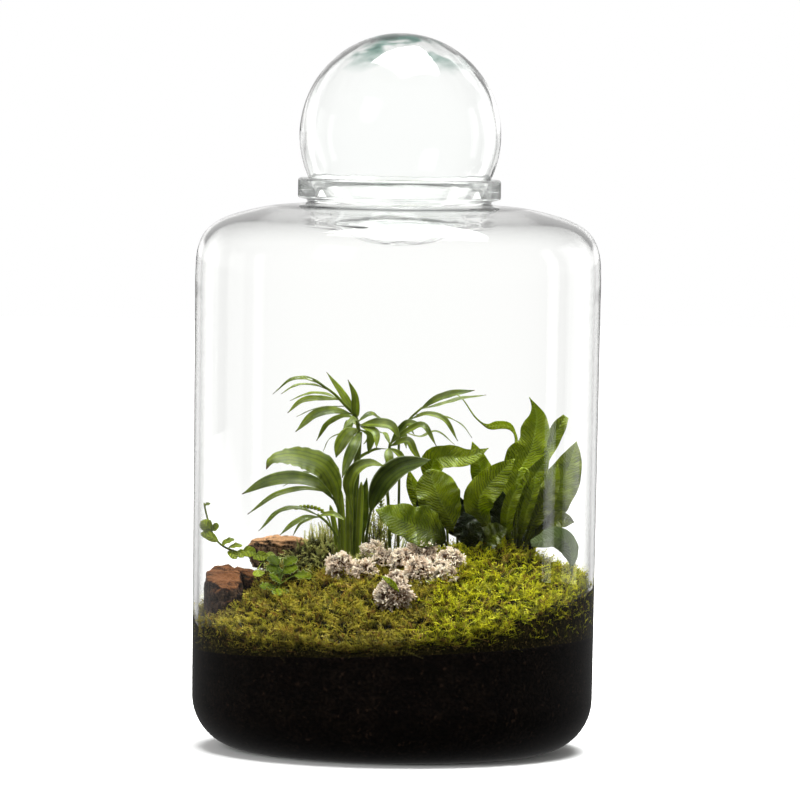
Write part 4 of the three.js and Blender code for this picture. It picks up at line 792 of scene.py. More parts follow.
# Leaflets of the palms: width, form, face and path
PALM_CROWN_LEAFLETS = [
    (3, "lance", UP, (-47, 0, 265), (-61, -7, 275), (-76, -14, 276), (-91, -18, 264)),
    (3, "lance", UP, (-57, -2, 272), (-69, 3, 275), (-79, 7, 273), (-89, 10, 266)),
    (3.4, "lance", UP, (-48.5, -0.5, 266.5), (-62, -5, 271), (-75, -8, 270), (-85, -11, 264)),
    (4.4, "lance", UP, (-42, 1, 260), (-54, 8, 264), (-67, 13, 263), (-79, 16, 258)),
    (5, "lance", FRONT, (-42, 1, 260), (-58, -6, 261), (-70, -10, 259), (-80, -14, 250)),
    (2.4, "lance", UP, (-38, 2, 255), (-50, 9, 254), (-61, 14, 252), (-74, 19, 246)),
    (7.5, "lance", FRONT, (-32, 3, 249), (-47, -5, 252), (-60, -9, 249), (-74, -13, 236)),
    (4.6, "lance", FRONT, (-30, 4, 247), (-40, 12, 247), (-51, 16, 241), (-59, 20, 228)),
    (6, "spear", FRONT, (-31.5, 4, 249.5), (-40, 6, 264), (-52, 9, 280)),
    (6.4, "spear", FRONT, (-30, 4, 246), (-31, 0, 263), (-36, -3, 275)),
    (6.8, "lance", UP, (-28, 4, 244), (-19, 8, 249), (-13, 12, 246), (-7, 16, 240)),
    (5, "lance", FRONT, (-27, 4, 242), (-31, -8, 246), (-39, -16, 239)),
    (8.5, "lance", FRONT, (-27, 4, 241), (-14, -4, 243), (-3, -8, 241), (3, -10, 232)),
    (6, "lance", FRONT, (-26, 4, 240), (-15, -9, 236), (-14, -16, 225)),
    (10.5, "lance", FRONT, (-27, 4, 238), (-35, -2, 235), (-41, -4, 226), (-44, -5, 217)),
    (8.5, "lance", FRONT, (-27, 4, 236), (-30, -12, 228), (-35, -19, 216), (-39, -24, 203)),
    (6.5, "lance", BACK, (-27, 4, 238), (-19, 12, 232), (-20, 15, 219)),
    (2.2, "lance", UP, (-28, 4, 234), (-39, 12, 234), (-49, 18, 230), (-54, 22, 220)),
    (7, "lance", BACK, (-28, 4, 240), (-33, 18, 243), (-36, 32, 237), (-38, 44, 226)),
]

# Palm nodes that are a stem with leaflets: stems as (path, radius, end radius), then leaflets
PALM_STEMS = {
    "palm_left_crown": (
        [(rooted(-31, 4, [(-31, 4, 178), (-29, 5, 206), (-27, 4, 236)]), 4.3, 2.2),
         ([(-27, 4, 232), (-30, 4, 247), (-38, 2, 256), (-47, 0, 265), (-62, -3, 275)], 1.6, 0.7)],
        PALM_CROWN_LEAFLETS),
    "palm_left_long_leaf": (
        [(rooted(-40, 10, [(-41, 10, 175), (-46, 10, 187)]), 1.2, 1.2)],
        [(11.5, "lance", FRONT, (-45, 10, 184), (-57, 10, 196), (-78, 12, 200), (-97, 15, 196),
          (-114, 18, 187)),
         (4.6, "lance", FRONT, (-50, 10, 190), (-66, 5, 193), (-88, 2, 188), (-109, 0, 173))]),
    "palm_left_low_frond": (
        [(rooted(-38, -14, [(-42, -15, 157), (-49, -16, 168), (-57, -17, 175)]), 1.0, 1.0)],
        [(6, "lance", UP, (-56, -17, 174), (-69, -18, 179), (-84, -19, 177), (-100, -21, 162)),
         (4.6, "lance", FRONT, (-55, -17, 173), (-65, -25, 173), (-75, -29, 168), (-84, -32, 160)),
         (4.8, "lance", UP, (-55, -17, 173), (-61, -9, 171), (-70, -6, 166), (-75, -4, 158)),
         (4.6, "lance", FRONT, (-56, -17, 174), (-46, -24, 176), (-37, -29, 172))]),
    "palm_left_back_frond": (
        [(rooted(-34, 17, [(-38, 22, 172), (-48, 34, 190), (-58, 44, 200)]), 1.2, 0.8)],
        [(6, "lance", BACK, (-56, 42, 199), (-66, 54, 202), (-74, 64, 194)),
         (5.5, "lance", BACK, (-50, 36, 192), (-52, 52, 198), (-54, 66, 192)),
         (5.5, "lance", BACK, (-52, 38, 194), (-68, 42, 200), (-84, 44, 192))]),
    "palm_right_crown": (
        [(rooted(-3, 14, [(-5, 14, 184), (-7, 13, 206), (-4, 12, 228)]), 1.3, 1.1)],
        [(6, "lance", FRONT, (-4, 12, 227), (2, 10, 236), (9, 6, 243), (20, 2, 242)),
         (5.5, "lance", FRONT, (-4, 12, 227), (8, 2, 237), (20, -5, 242), (30, -10, 227)),
         (6, "lance", FRONT, (-5, 12, 225), (9, 6, 230), (14, 4, 222), (20, 2, 213)),
         (7, "lance", FRONT, (-5, 12, 224), (-5, 4, 218), (-3, 0, 208)),
         (5, "lance", FRONT, (-5, 12, 224), (3, 13, 219), (8, 13, 210)),
         (5.5, "lance", BACK, (-5, 12, 223), (-13, 23, 222), (-24, 29, 217), (-33, 33, 209)),
         (6, "lance", BACK, (-4, 12, 226), (-9, 24, 234), (-16, 34, 233), (-24, 42, 225)),
         (5.5, "lance", BACK, (-4, 12, 226), (3, 26, 234), (6, 38, 232), (8, 50, 222))]),
    "palm_right_tall_frond": (
        [(rooted(3, 22, [(3, 22, 183), (3, 22, 206), (3, 22, 231), (9, 22, 244), (19, 22, 254)]), 1.2, 0.8)],
        [(6.2, "lance", FRONT, (17, 22, 252), (28, 18, 260), (41, 15, 265), (58, 13, 268)),
         (5, "lance", UP, (18, 22, 253), (31, 25, 256), (49, 28, 261), (67, 29, 264)),
         (4.4, "lance", FRONT, (10, 22, 245), (23, 14, 250), (36, 10, 246), (46, 8, 230)),
         (2.2, "lance", UP, (14, 22, 249), (33, 32, 248), (49, 38, 241), (57, 41, 231)),
         (3.2, "lance", UP, (5, 22, 236), (18, 27, 232), (30, 31, 236), (44, 36, 226)),
         (3, "lance", BACK, (6, 22, 240), (8, 36, 242), (14, 48, 232))]),
}

# The sheaths round the foot of the left palm: width, root and path
PALM_SHEATHS = [
    (5.5, (-37, -3), (-38, -5, 168), (-40, -7, 193)),
    (6.0, (-33, -4), (-33, -7, 172), (-34, -8, 208)),
    (5.0, (-27, -2), (-26, -4, 170), (-25, -5, 199)),
    (4.5, (-42, 2), (-44, 1, 160), (-48, 0, 181)),
]
# Palm nodes that are one blade each
PALM_BLADES = {
    "palm_left_broad_leaf": dict(
        path=rooted(-40, -4, [(-42, -7, 181), (-46, -10, 199), (-54, -12, 210), (-69, -14, 216),
                              (-82, -16, 217), (-92, -18, 214), (-95, -19, 208)]),
        width=20, face=(-0.15, -0.75, 0.6), stipe=0.42, wave=0.8, fold=0.2, ruffle=1.1, ruffles=11, tint=0.6,
        brown_tip=0.07, columns=16, rows=64),
    "palm_left_side_leaf": dict(
        path=rooted(-31, -6, [(-33, -12, 184), (-34, -16, 199), (-29, -18, 209), (-19, -19, 214),
                              (-8, -20, 212)]),
        width=10, face=FRONT, stipe=0.5, tint=0.6),
    "palm_left_upright_leaf": dict(
        path=rooted(-23, 12, [(-23, 12, 169), (-23, 12, 186), (-21, 13, 201)]),
        width=8, face=FRONT, stipe=0.4, tint=0.4),
    "palm_left_dark_leaf": dict(
        path=rooted(-22, -5, [(-18, -9, 176), (-14, -11, 190), (-7, -13, 202), (4, -15, 211),
                              (26, -18, 217)]),
        width=17, face=(0.1, -0.9, 0.4), stipe=0.4, tint=0.4),
}


def make_palms():
    for node, (stems, leaflets) in PALM_STEMS.items():
        builder = Builder()
        for path, radius, end_radius in stems:
            add_stem(builder, path, radius, end_radius, rows=40, sides=12, tint=0.45)
        # The sheaths take the lightest palm tone: a painted glow of the light that comes through them.
        for order, (width, (x, y), *path) in enumerate(PALM_SHEATHS if node == "palm_left_crown" else []):
            add_leaf(builder, rooted(x, y, path), width, "strap", (0.3 * (order - 1.5), -1, 0.1), fold=0.6,
                     tint=1.0 + 0.1 * order)
        for order, (width, form, face, *path) in enumerate(leaflets):
            add_leaf(builder, path, width, form, face, rows=26, columns=8, tint=0.35 + 0.12 * (order % 5),
                     ruffle=0.25, ruffles=3, phase=order, thick=0.4, brown_tip=0.03)
        finish_leaf(builder, node, PALM, "palm_leaf")
    for node, spec in PALM_BLADES.items():
        builder = Builder()
        add_leaf(builder, **(dict(rows=50, columns=12, ruffle=0.4) | spec))
        dark = node == "palm_left_dark_leaf"
        finish_leaf(builder, node, PALM_DARK if dark else PALM, "palm_dark" if dark else "palm_leaf")


# Creepers

FIG_PATH = [(-92, -5, 138), (-100, -6, 142), (-110, -8, 144), (-121, -11, 147), (-128, -13, 151),
            (-133, -13, 157), (-138, -12, 170), (-141, -9, 181)]
# Leaves of the fig, and tips of the ivy: width, face or share of bare stalk, and path
FIG_LEAVES = [
    (3, FRONT, (-141, -9, 179), (-139, -12, 180.5), (-136, -14, 181)),
    (10, FRONT, (-134.5, -13, 161), (-138.5, -16, 165), (-142.5, -15, 168)),
    (5, FRONT, (-134, -12, 161), (-132, -13, 164), (-131, -13, 167)),
    (7.5, FRONT, (-130, -13, 153.5), (-136, -17, 157), (-142, -20, 159)),
    (7.5, UP, (-127, -12.5, 150), (-124, -13, 153), (-118, -13, 155)),
    (7.5, UP, (-123, -11.5, 148), (-119, -14, 150), (-112, -15, 150.5)),
    (7, FRONT, (-121, -11, 147), (-119, -17, 144.5), (-116, -21, 141)),
    (7, FRONT, (-117, -10, 145.5), (-114, -15, 145), (-111, -19, 142)),
    (9.5, FRONT, (-113, -9, 144.5), (-109, -14, 146), (-102, -17, 145)),
    (8.5, FRONT, (-104, -7, 142.5), (-100, -12, 143), (-93.5, -15, 141.5)),
    (7, UP, (-98, -6, 141.5), (-94, -8, 143.5), (-88, -9, 143.5)),
]
FIG_HANGING_LEAF = [(-95, -5, 139.5), (-98, -15, 137), (-100, -25, 133), (-98, -34, 129)]
IVY_HUB = (-83.5, -36, 124)
IVY_TIPS = [
    (10, 0.6, (-86, -28, 137), (-91, -22, 144)),
    (11, 0.61, (-80, -25, 137), (-72, -20, 143)),
    (12, 0.47, (-81, -30, 131), (-71, -27, 137)),
    (12, 0.49, (-73, -33, 130), (-60, -32, 130)),
    (12, 0.41, (-84, -32, 131), (-93, -28, 137)),
    (11, 0.13, (-83, -37, 125), (-91, -41, 131)),
    (11, 0.36, (-87, -41, 123), (-97, -47, 122)),
    (12, 0.42, (-84, -44, 121), (-82, -55, 117)),
]
# One fallen leaf tip on the front lichen
FALLEN_TIP = [(4, -107, 125.5), (-2, -112, 132), (-9, -111, 137)]


def make_creepers():
    creeper = dict(ruffle=0.4, ruffles=2, columns=10, thick=0.35)
    builder = Builder()
    add_stem(builder, rooted(-89, -4, FIG_PATH), 0.9, 0.7, rows=60, sides=8, tint=0.2)
    for order, (width, face, *path) in enumerate(FIG_LEAVES):
        add_leaf(builder, path, width, "round", face, fold=0.12, rows=18, tint=0.45 + 0.15 * (order % 4),
                 phase=order, **creeper)
    add_leaf(builder, FIG_HANGING_LEAF, 9, "round", FRONT, fold=0.12, tint=0.8, stipe=0.68, petiole=0.4,
             **creeper)
    add_leaf(builder, FALLEN_TIP, 5, face=FRONT, rows=12, columns=6, tint=0.9, thick=0.35)
    finish_leaf(builder, "creeping_fig", FIG, "fig_leaf")

    builder = Builder()
    add_stem(builder, rooted(-84, -34, [(-84, -35, 123), (-83, -37, 126)]), 1.0, 1.0, rows=14, sides=8,
             tint=0.2)
    for order, (width, stipe, *path) in enumerate(IVY_TIPS):
        add_leaf(builder, [IVY_HUB, *path], width, "round", UP, fold=0.1, stipe=stipe, rows=36, columns=12,
                 ruffle=0.8, ruffles=5, tint=0.4 + 0.15 * (order % 4), phase=order, thick=0.35, lobes=0.14,
                 petiole=0.4)
    finish_leaf(builder, "ivy_sprig", IVY, "ivy_leaf")

    builder = Builder()
    path = rooted(-47, 22, [(-48, 22, 166), (-54, 23, 175), (-64, 24, 178), (-74, 25, 177)])
    add_stem(builder, path, 0.7, 0.5, rows=40, sides=6)
    places, _, _ = curve_through(path, 101)
    for x, y, z in places[[*range(58, 98, 5), 99]]:
        add_stem(builder, [(x, y, z - 1.5), (x, y, z), (x, y, z + 1.5)], 1.4, 1.1, rows=5, sides=8, tint=1.0)
    finish_leaf(builder, "beaded_sprig", FIG, "fig_leaf")

    builder = Builder()
    path = rooted(-10, 24, [(-10, 24, 170), (-11, 25, 195)])
    add_stem(builder, path, 0.7, 0.4, rows=30, sides=6)
    places, _, _ = curve_through(path, 101)
    needles = 70
    for i in range(needles):
        root = places[40 + int(i * 0.86)]
        turn, reach = i * 2.4, 3.6 * (1 - 0.4 * i / needles)
        tip = root + [reach * math.cos(turn), reach * math.sin(turn), 0.9 * reach]
        add_leaf(builder, [root, (root + tip) / 2 + [0, 0, 0.4], tip], 1.1, rows=5, columns=2, tint=0.9,
                 thick=0.3)
    finish_leaf(builder, "moss_sprig", FIG, "spike_moss")


# Soil and moss

SEAM_POINT = (27, -24)
FRONT_LINE = [(20, -150), (26, -90), (34, -56), (33, -36)]
BACK_LINE = [(21, 12), (28, 60), (36, 150)]
LEFT_LINE = [(0, -31), (-40, -28), (-70, -11), (-95, 7), (-150, 12)]
# The moss cushions, and the fronds on each
MOSSES = {
    "moss_right_mound": dict(
        outline=[*FRONT_LINE, SEAM_POINT, *BACK_LINE, (160, 150), (160, -150)], slot="moss_bright",
        material=MOSS_BRIGHT, count=4150, length=(8.5, 14.0), leaflet=(2.2, 4.0)),
    "moss_front_left": dict(
        outline=[(-160, -150), *FRONT_LINE, SEAM_POINT, *LEFT_LINE, (-160, 12)], slot="moss_olive",
        material=MOSS_OLIVE, count=4050, length=(7.5, 13.0), leaflet=(2.0, 3.6)),
    "moss_back_knoll": dict(
        outline=[SEAM_POINT, *BACK_LINE, (-160, 150), (-160, 12), *LEFT_LINE[::-1]], slot="moss_pale",
        material=MOSS_PALE, count=3650, length=(6.5, 11.0), leaflet=(1.7, 3.0)),
}


def inside_outline(x, y, outline):
    """Which of the points lie inside a closed outline."""
    inside = np.zeros(len(x), bool)
    for (ax, ay), (bx, by) in zip(outline, [*outline[1:], outline[0]]):
        crosses = (ay > y) != (by > y)
        with np.errstate(divide="ignore", invalid="ignore"):
            at = ax + (y - ay) * (bx - ax) / (by - ay)
        inside ^= crosses & (x < at)
    return inside


def wall_radius(z):
    """The radius of the inner face of the jar at each height."""
    share = (z - INNER_WALL_BOTTOM) / (WALL_TOP - INNER_WALL_BOTTOM)
    return INNER_WALL_LOW + share * (WALL_HIGH - WALL_THICKNESS - INNER_WALL_LOW)


# How far what touches the glass is sunk in it, so that no air shows between them
PRESSED = 1.2
# The same for the undergrowth, and for the fronds that lie between it and the glass
MOSS_PRESSED, FRONDS_PRESSED = 0.6, (0.95, 1.5)


def make_moss_ground():
    """The dark undergrowth below the fronds: a skin over the top and down the side of the moss."""
    turns, tops, sides = 200, 60, 14
    angle = np.linspace(0, 2 * math.pi, turns, endpoint=False)[None, :]
    share = np.concatenate([np.linspace(0, 1, tops), np.ones(sides)])[:, None]
    down = np.concatenate([np.zeros(tops), np.linspace(0, 1, sides + 1)[1:]])[:, None]
    reach = share * INNER_WALL_LOW
    x, y = reach * np.cos(angle), reach * np.sin(angle)
    high, low = moss_top(x, y) - 1.6, soil_top(x, y) - 1.0
    z = high + (low - high) * down
    points = np.stack([x, y, z], 2).reshape(-1, 3)
    lumps = smooth_noise(points, 3.2) * 0.9 + smooth_noise(points, 9.0, 5.0) * 0.8
    flat = np.hypot(points[:, 0], points[:, 1])
    rim = flat > INNER_WALL_LOW - 0.1
    wanted = wall_radius(points[:, 2]) + MOSS_PRESSED + 0.25 * np.clip(lumps, -1, 1)
    points[:, :2] *= np.where(rim, wanted / np.maximum(flat, 1), 1.0)[:, None]
    points[:, 2] += lumps * ~rim
    faces = ring_faces(tops + sides, turns)
    middle = points[faces].mean(1)
    for node, kind in MOSSES.items():
        own = faces[inside_outline(middle[:, 0], middle[:, 1], kind["outline"])]
        used, order = np.unique(own, return_inverse=True)
        mesh_piece("ground_" + node, points[used], order.reshape(-1, 4), UNDER_MOSS, [node])


FROND_WIDTH = 1.3
# How far the tip of a leaflet lies to the side of its root and ahead of it, as a share of its size
TIP_ASIDE, TIP_AHEAD = 0.72, 0.7
# Painted shade: the moss darkens toward the soil over this height above it
DIM_OVER_SOIL = 15.0


def frond_mesh(foot, way, length, droop, leaflet, stations=6):
    """Feathery fronds, all at once: a thin bent blade each, with slender leaflets on both its sides."""
    count = len(foot)
    t = np.linspace(0, 1, stations + 1)
    way = way / np.linalg.norm(way, axis=1)[:, None]
    axis = foot[:, None, :] + way[:, None, :] * (t[None, :, None] * length[:, None, None])
    flat = way * [1, 1, 0]
    sag = (t[None, :] ** 2 * (droop * length)[:, None])[..., None]
    axis = axis + flat[:, None, :] * sag - np.array([0, 0, 1.0]) * sag
    curl = RANDOM.normal(0, 0.16, (count, 1, 3)) * [1, 1, 0.3]
    axis = axis + curl * (t[None, :, None] ** 2) * length[:, None, None]
    ahead = np.gradient(axis, axis=1)
    ahead /= np.linalg.norm(ahead, axis=2)[..., None]
    roll = RANDOM.normal(0, 0.6, (count, 1, 3)) + [0, 0, 1]
    side = np.cross(ahead, roll)
    side /= np.linalg.norm(side, axis=2)[..., None]
    up = np.cross(side, ahead)
    thin = FROND_WIDTH / 2 * (1 - 0.7 * t)[None, :, None]
    left, right = axis - side * thin, axis + side * thin
    middle = (axis[:, :-1] + axis[:, 1:]) / 2
    onward = (axis[:, 1:] - axis[:, :-1]) * 0.36
    reach = leaflet[:, None, None] * (1.0 - 0.55 * t[:-1] ** 2)[None, :, None]
    onto_side, forward = TIP_ASIDE * side[:, :-1], TIP_AHEAD * ahead[:, :-1]
    jitter = RANDOM.uniform(0.6, 1.3, (count, stations, 1))
    lift = RANDOM.normal(0.2, 0.35, (count, stations, 1))
    tips_right = middle + reach * jitter * (onto_side + forward + lift * up[:, :-1])
    tips_left = middle + reach * (1.9 - jitter) * (-onto_side + forward + lift * up[:, :-1])
    points = np.concatenate([left, right, middle, middle + onward, tips_left, tips_right], 1)
    n = stations + 1
    faces = []
    for k in range(stations):
        low, high = 2 * n + k, 2 * n + stations + k
        faces += [(k, n + k, n + k + 1), (k, n + k + 1, k + 1), (low, high, high + stations),
                  (high, low, high + 2 * stations)]
    per = points.shape[1]
    all_faces = (np.asarray(faces)[None] + (np.arange(count) * per)[:, None, None]).reshape(-1, 3)
    height = np.concatenate([t, t, t[:-1] + 0.1, t[:-1] + 0.2, t[:-1] + 0.35, t[:-1] + 0.35])
    kind = RANDOM.uniform(0, 1, count)
    # Painted shade: depth darkens the strands over DIM_OVER_SOIL above the soil edge
    over = np.minimum(points[..., 2], foot[:, None, 2] + 5) - soil_edge(points[..., 0], points[..., 1])
    depth = np.clip(1 - over / DIM_OVER_SOIL, 0, 1)
    shade = np.stack([np.broadcast_to(height, (count, per)), np.repeat(kind[:, None], per, 1), depth], 2)
    return points.reshape(-1, 3), all_faces, shade.reshape(-1, 3)


def keep_in_jar(points, gap):
    """Brings what would reach into the glass back to the wall."""
    reach = np.hypot(points[:, 0], points[:, 1])
    most = wall_radius(points[:, 2]) - gap
    points[:, :2] *= np.minimum(1, most / np.maximum(reach, 1e-6))[:, None]
    return points


# The size of a rosette of fronds, and how many more fronds stand along the wall, as a share
ROSETTE, WALL_SHARE = 12.0, 0.42


def rosettes(x, y):
    """How each point lies to the middle of the nearest rosette, as a share of a rosette's size."""
    steps = np.arange(-13, 14)
    cx, cy = [v.ravel() * ROSETTE for v in np.meshgrid(steps, steps)]
    random = np.random.default_rng(7)
    cx, cy = cx + random.uniform(-5, 5, len(cx)), cy + random.uniform(-5, 5, len(cy))
    nearest = np.argmin((x[:, None] - cx) ** 2 + (y[:, None] - cy) ** 2, 1)
    return (x - cx[nearest]) / ROSETTE, (y - cy[nearest]) / ROSETTE


def scattered(outline, count, radius_of):
    """count points inside an outline, clear of the stones."""
    x, y = np.zeros(0), np.zeros(0)
    while len(x) < count:
        radius, turn = radius_of(count), RANDOM.uniform(0, 2 * math.pi, count)
        nx, ny = radius * np.cos(turn), radius * np.sin(turn)
        own = inside_outline(nx, ny, outline) & ~in_stone(nx, ny)
        x, y = np.concatenate([x, nx[own]]), np.concatenate([y, ny[own]])
    return x[:count], y[:count]


def over_ground(count):
    """Distances from the middle that spread points evenly."""
    return (INNER_WALL_LOW - 2) * np.sqrt(RANDOM.uniform(0, 1, count))


def along_wall(count):
    return INNER_WALL_LOW - RANDOM.uniform(0.0, 2.5, count)


def make_moss_strands():
    for node, kind in MOSSES.items():
        count = kind["count"] // 1
        x, y = scattered(kind["outline"], count, over_ground)
        dx, dy = rosettes(x, y)
        dome = 1.8 * (1 - 2.2 * (dx ** 2 + dy ** 2))
        foot = np.stack([x, y, moss_top(x, y) - 2.2 + dome], 1)
        way = np.stack([dx * 1.9, dy * 1.9, np.ones(count)], 1)
        way = way + RANDOM.normal(0, 0.45, (count, 3)) * [1, 1, 0.3]
        at_wall = int(count * WALL_SHARE)
        x, y = scattered(kind["outline"], at_wall, along_wall)
        low, high = soil_top(x, y), moss_top(x, y) + 0.5
        z = low + (high - low) * RANDOM.uniform(0.0, 1.0, at_wall) ** 0.8
        sideways = np.stack([-y, x, np.zeros(at_wall)], 1) / INNER_WALL_LOW
        wall_way = sideways * RANDOM.normal(0, 1.0, (at_wall, 1)) + [0, 0, 0.7]
        wall_way = wall_way + RANDOM.normal(0, 0.3, (at_wall, 3))
        foot, way = np.vstack([foot, np.stack([x, y, z], 1)]), np.vstack([way, wall_way])
        total = len(foot)
        length = RANDOM.uniform(*kind["length"], total)
        leaflet = RANDOM.uniform(*kind["leaflet"], total)
        droop = RANDOM.uniform(0.0, 0.5, total)
        points, faces, shade = frond_mesh(foot, way, length, droop, leaflet)
        points = keep_in_jar(points, -RANDOM.uniform(*FRONDS_PRESSED, len(points)))
        mesh_piece("strands_" + node, points, faces, kind["material"], (),
                   shade=shade, smooth=False)


# Slender upright moss behind the palms: middle, spread, how many, shortest and longest
TALL_MOSS = [(-11, 25, 13, 60, 32, 56), (-50, 22, 18, 70, 12, 21), (-2, 27, 9, 24, 16, 34)]


def make_tall_moss():
    for order, (x, y, spread, count, shortest, longest) in enumerate(TALL_MOSS, 1):
        at = RANDOM.normal(0, spread / 2, (count, 2)) + [x, y]
        foot = np.stack([at[:, 0], at[:, 1], moss_top(at[:, 0], at[:, 1]) - 3], 1)
        way = RANDOM.normal(0, 0.1, (count, 3)) + [0, 0, 1]
        length, droop = RANDOM.uniform(shortest, longest, count), RANDOM.uniform(0, 0.12, count)
        points, faces, shade = frond_mesh(foot, way, length, droop, RANDOM.uniform(1.8, 2.8, count), 14)
        mesh_piece(f"strands_tall_moss_{order}", points, faces, MOSS_PALE, (),
                   shade=shade, smooth=False)


# Where no moss grows: middle and half widths of each stone
STONE_CENTRES = [((-124, -31), (15, 14)), ((-108, -4), (12, 9)), ((-85, 31), (24, 14))]


def in_stone(x, y):
    covered = np.zeros(len(x), bool)
    for (cx, cy), (wx, wy) in STONE_CENTRES:
        covered |= ((x - cx) / wx) ** 2 + ((y - cy) / wy) ** 2 < 1
    return covered | (np.hypot(x - PLUG_X, y - PLUG_Y) < PLUG_RADIUS + 0.5)


def make_soil():
    """Soil as it presses on the glass, grain by grain, with its top under the moss."""
    turns, rows = 260, 40
    angle = np.linspace(0, 2 * math.pi, turns, endpoint=False)
    corner = arc(INNER_WALL_LOW - INNER_CORNER_RADIUS, INNER_WALL_BOTTOM, INNER_CORNER_RADIUS + PRESSED,
                 -90, 0, 14)
    flat = np.linspace(0.5, corner[0, 0] - 1, 6)
    base = np.vstack([np.stack([flat, np.full(6, FLOOR_THICKNESS - PRESSED)], 1), corner])
    x, y = (INNER_WALL_LOW + PRESSED) * np.cos(angle), (INNER_WALL_LOW + PRESSED) * np.sin(angle)
    up = np.linspace(0, 1, rows)[1:, None]
    rings = [np.stack([r * np.cos(angle), r * np.sin(angle), np.full(turns, z)], 1) for r, z in base]
    for z in INNER_WALL_BOTTOM + (soil_top(x, y) - INNER_WALL_BOTTOM) * up:
        rings.append(np.stack([x, y, z], 1))
    for share in (0.9, 0.75, 0.5, 0.25, 0.02):
        rings.append(np.stack([x * share, y * share, soil_top(x * share, y * share)], 1))
    points = np.vstack(rings)
    reach = np.hypot(points[:, 0], points[:, 1])
    grains = smooth_noise(points, 1.7) + 0.7 * smooth_noise(points, 4.5, 4.0)
    dent = np.where(reach > 100, np.clip(grains, -0.9, -0.05) * 0.35, 0.0)
    points[:, :2] *= (1 + dent / np.maximum(reach, 1))[:, None]
    mesh_piece("fine_soil", points, tube_faces(len(rings), turns), SOIL, ["soil"])


# Stones, root block, lichen

# How much of their height lumps stand out, so that a stone keeps its size
LUMP_LEVEL = 0.2


def roughened(node, material, voxel, lumps):
    """A copy of a solid, remeshed finely and weathered: lumps are (size, height, flatness) in mm."""
    piece = put_in_scene("fine_" + node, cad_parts[node].data.copy())
    remesh = piece.modifiers.new("remesh", "REMESH")
    remesh.mode, remesh.voxel_size = "VOXEL", voxel * MM
    soften = piece.modifiers.new("soften", "SMOOTH")
    soften.factor, soften.iterations = 0.5, 4
    graph = bpy.context.evaluated_depsgraph_get()
    fine = bpy.data.meshes.new_from_object(piece.evaluated_get(graph))
    piece.modifiers.clear()
    piece.data = fine
    count = len(fine.vertices)
    points, normals = np.zeros(count * 3), np.zeros(count * 3)
    fine.vertices.foreach_get("co", points)
    fine.vertices.foreach_get("normal", normals)
    points, normals = points.reshape(-1, 3) / MM, normals.reshape(-1, 3)
    move = np.zeros(count)
    for number, (size, height, flat) in enumerate(lumps):
        move += height * (LUMP_LEVEL - np.abs(smooth_noise(points * [1, 1, flat], size, 7.0 * number + 1)))
    fine.vertices.foreach_set("co", ((points + normals * move[:, None]) * MM).ravel())
    fine.update()
    fine.materials.clear()
    fine.materials.append(material)
    fine.polygons.foreach_set("use_smooth", [True] * len(fine.polygons))
    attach(piece, "root")
    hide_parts(node)


def make_stones():
    chips = [(9.0, 2.2, 0.8), (3.4, 1.0, 1.6), (1.5, 0.4, 1.0)]
    layers = [(10.0, 2.4, 2.4), (3.2, 1.3, 2.2), (1.4, 0.4, 1.0)]
    crumbs = [(5.0, 1.6, 1.0), (1.8, 0.7, 1.0)]
    roughened("rock_standing", RUST_STONE, 0.75, chips)
    roughened("rock_wedge", RUST_STONE, 0.75, chips)
    roughened("rock_flat", DARK_STONE, 0.85, layers)
    roughened("root_plug", PEAT, 0.9, crumbs)


# Middle and radius of each head
LICHEN_HEADS = [
    (-39, -35, 136.5, 9.3), (-16, -17, 147.2, 7), (-8, -28, 142.3, 7.4), (-21, -43, 134.3, 7.4),
    (19, -24, 147, 10), (6, -39, 142, 7.6), (19, -52, 135, 9.6), (2, -59, 129, 6.6),
    (41, -36, 141, 9), (38, -54, 133, 7.2), (0, -94, 119, 11.3),
]
# How far the twigs reach, in radii of a head, on the moss and on the low head in front
REACH, FRONT_REACH, FRONT_BELOW = 1.45, 1.75, 125
TWIG_RADIUS, TWIG_TAPER, KNOB, FORKS = 0.68, 0.85, 1.35, 3
SHORTER, THINNER = 0.78, 0.8
GOLDEN_TURN = 2.39996


def add_twig(builder, start, way, length, radius, depth, tint, reach, centre):
    """A short branch that forks into thinner ones, depth times, with a knob at each end."""
    end = start + way * length
    side = np.cross(way, RANDOM.normal(0, 1, 3))
    side /= np.linalg.norm(side)
    up = np.cross(way, side)
    turn = np.linspace(0, 2 * math.pi, 3, endpoint=False)
    ring = np.cos(turn)[:, None] * side + np.sin(turn)[:, None] * up
    points = [start + ring * radius, end + ring * radius * TWIG_TAPER]
    faces = [(k, (k + 1) % 3, 3 + (k + 1) % 3) for k in range(3)]
    faces += [(k, 3 + (k + 1) % 3, 3 + k) for k in range(3)]
    if depth:
        points.append([end + way * radius])
        faces += [(3 + k, 3 + (k + 1) % 3, 6) for k in range(3)]
    else:
        points += [end + way * radius * 0.9 + ring * radius * KNOB, [end + way * radius * 2.1]]
        for k in range(3):
            after = (k + 1) % 3
            faces += [(3 + k, 3 + after, 6 + after), (3 + k, 6 + after, 6 + k), (6 + k, 6 + after, 9)]
    points = np.vstack(points)
    height = np.linalg.norm(points - centre, axis=1) / reach
    builder.add(points, faces, shade=np.stack([height, np.full(len(points), tint), 0 * height], 1))
    for _ in range(FORKS if depth else 0):
        bent = way * 0.9 + RANDOM.normal(0, 0.6, 3)
        bent /= np.linalg.norm(bent)
        add_twig(builder, end - way * radius * 0.4, bent, length * SHORTER, radius * THINNER, depth - 1,
                 tint, reach, centre)


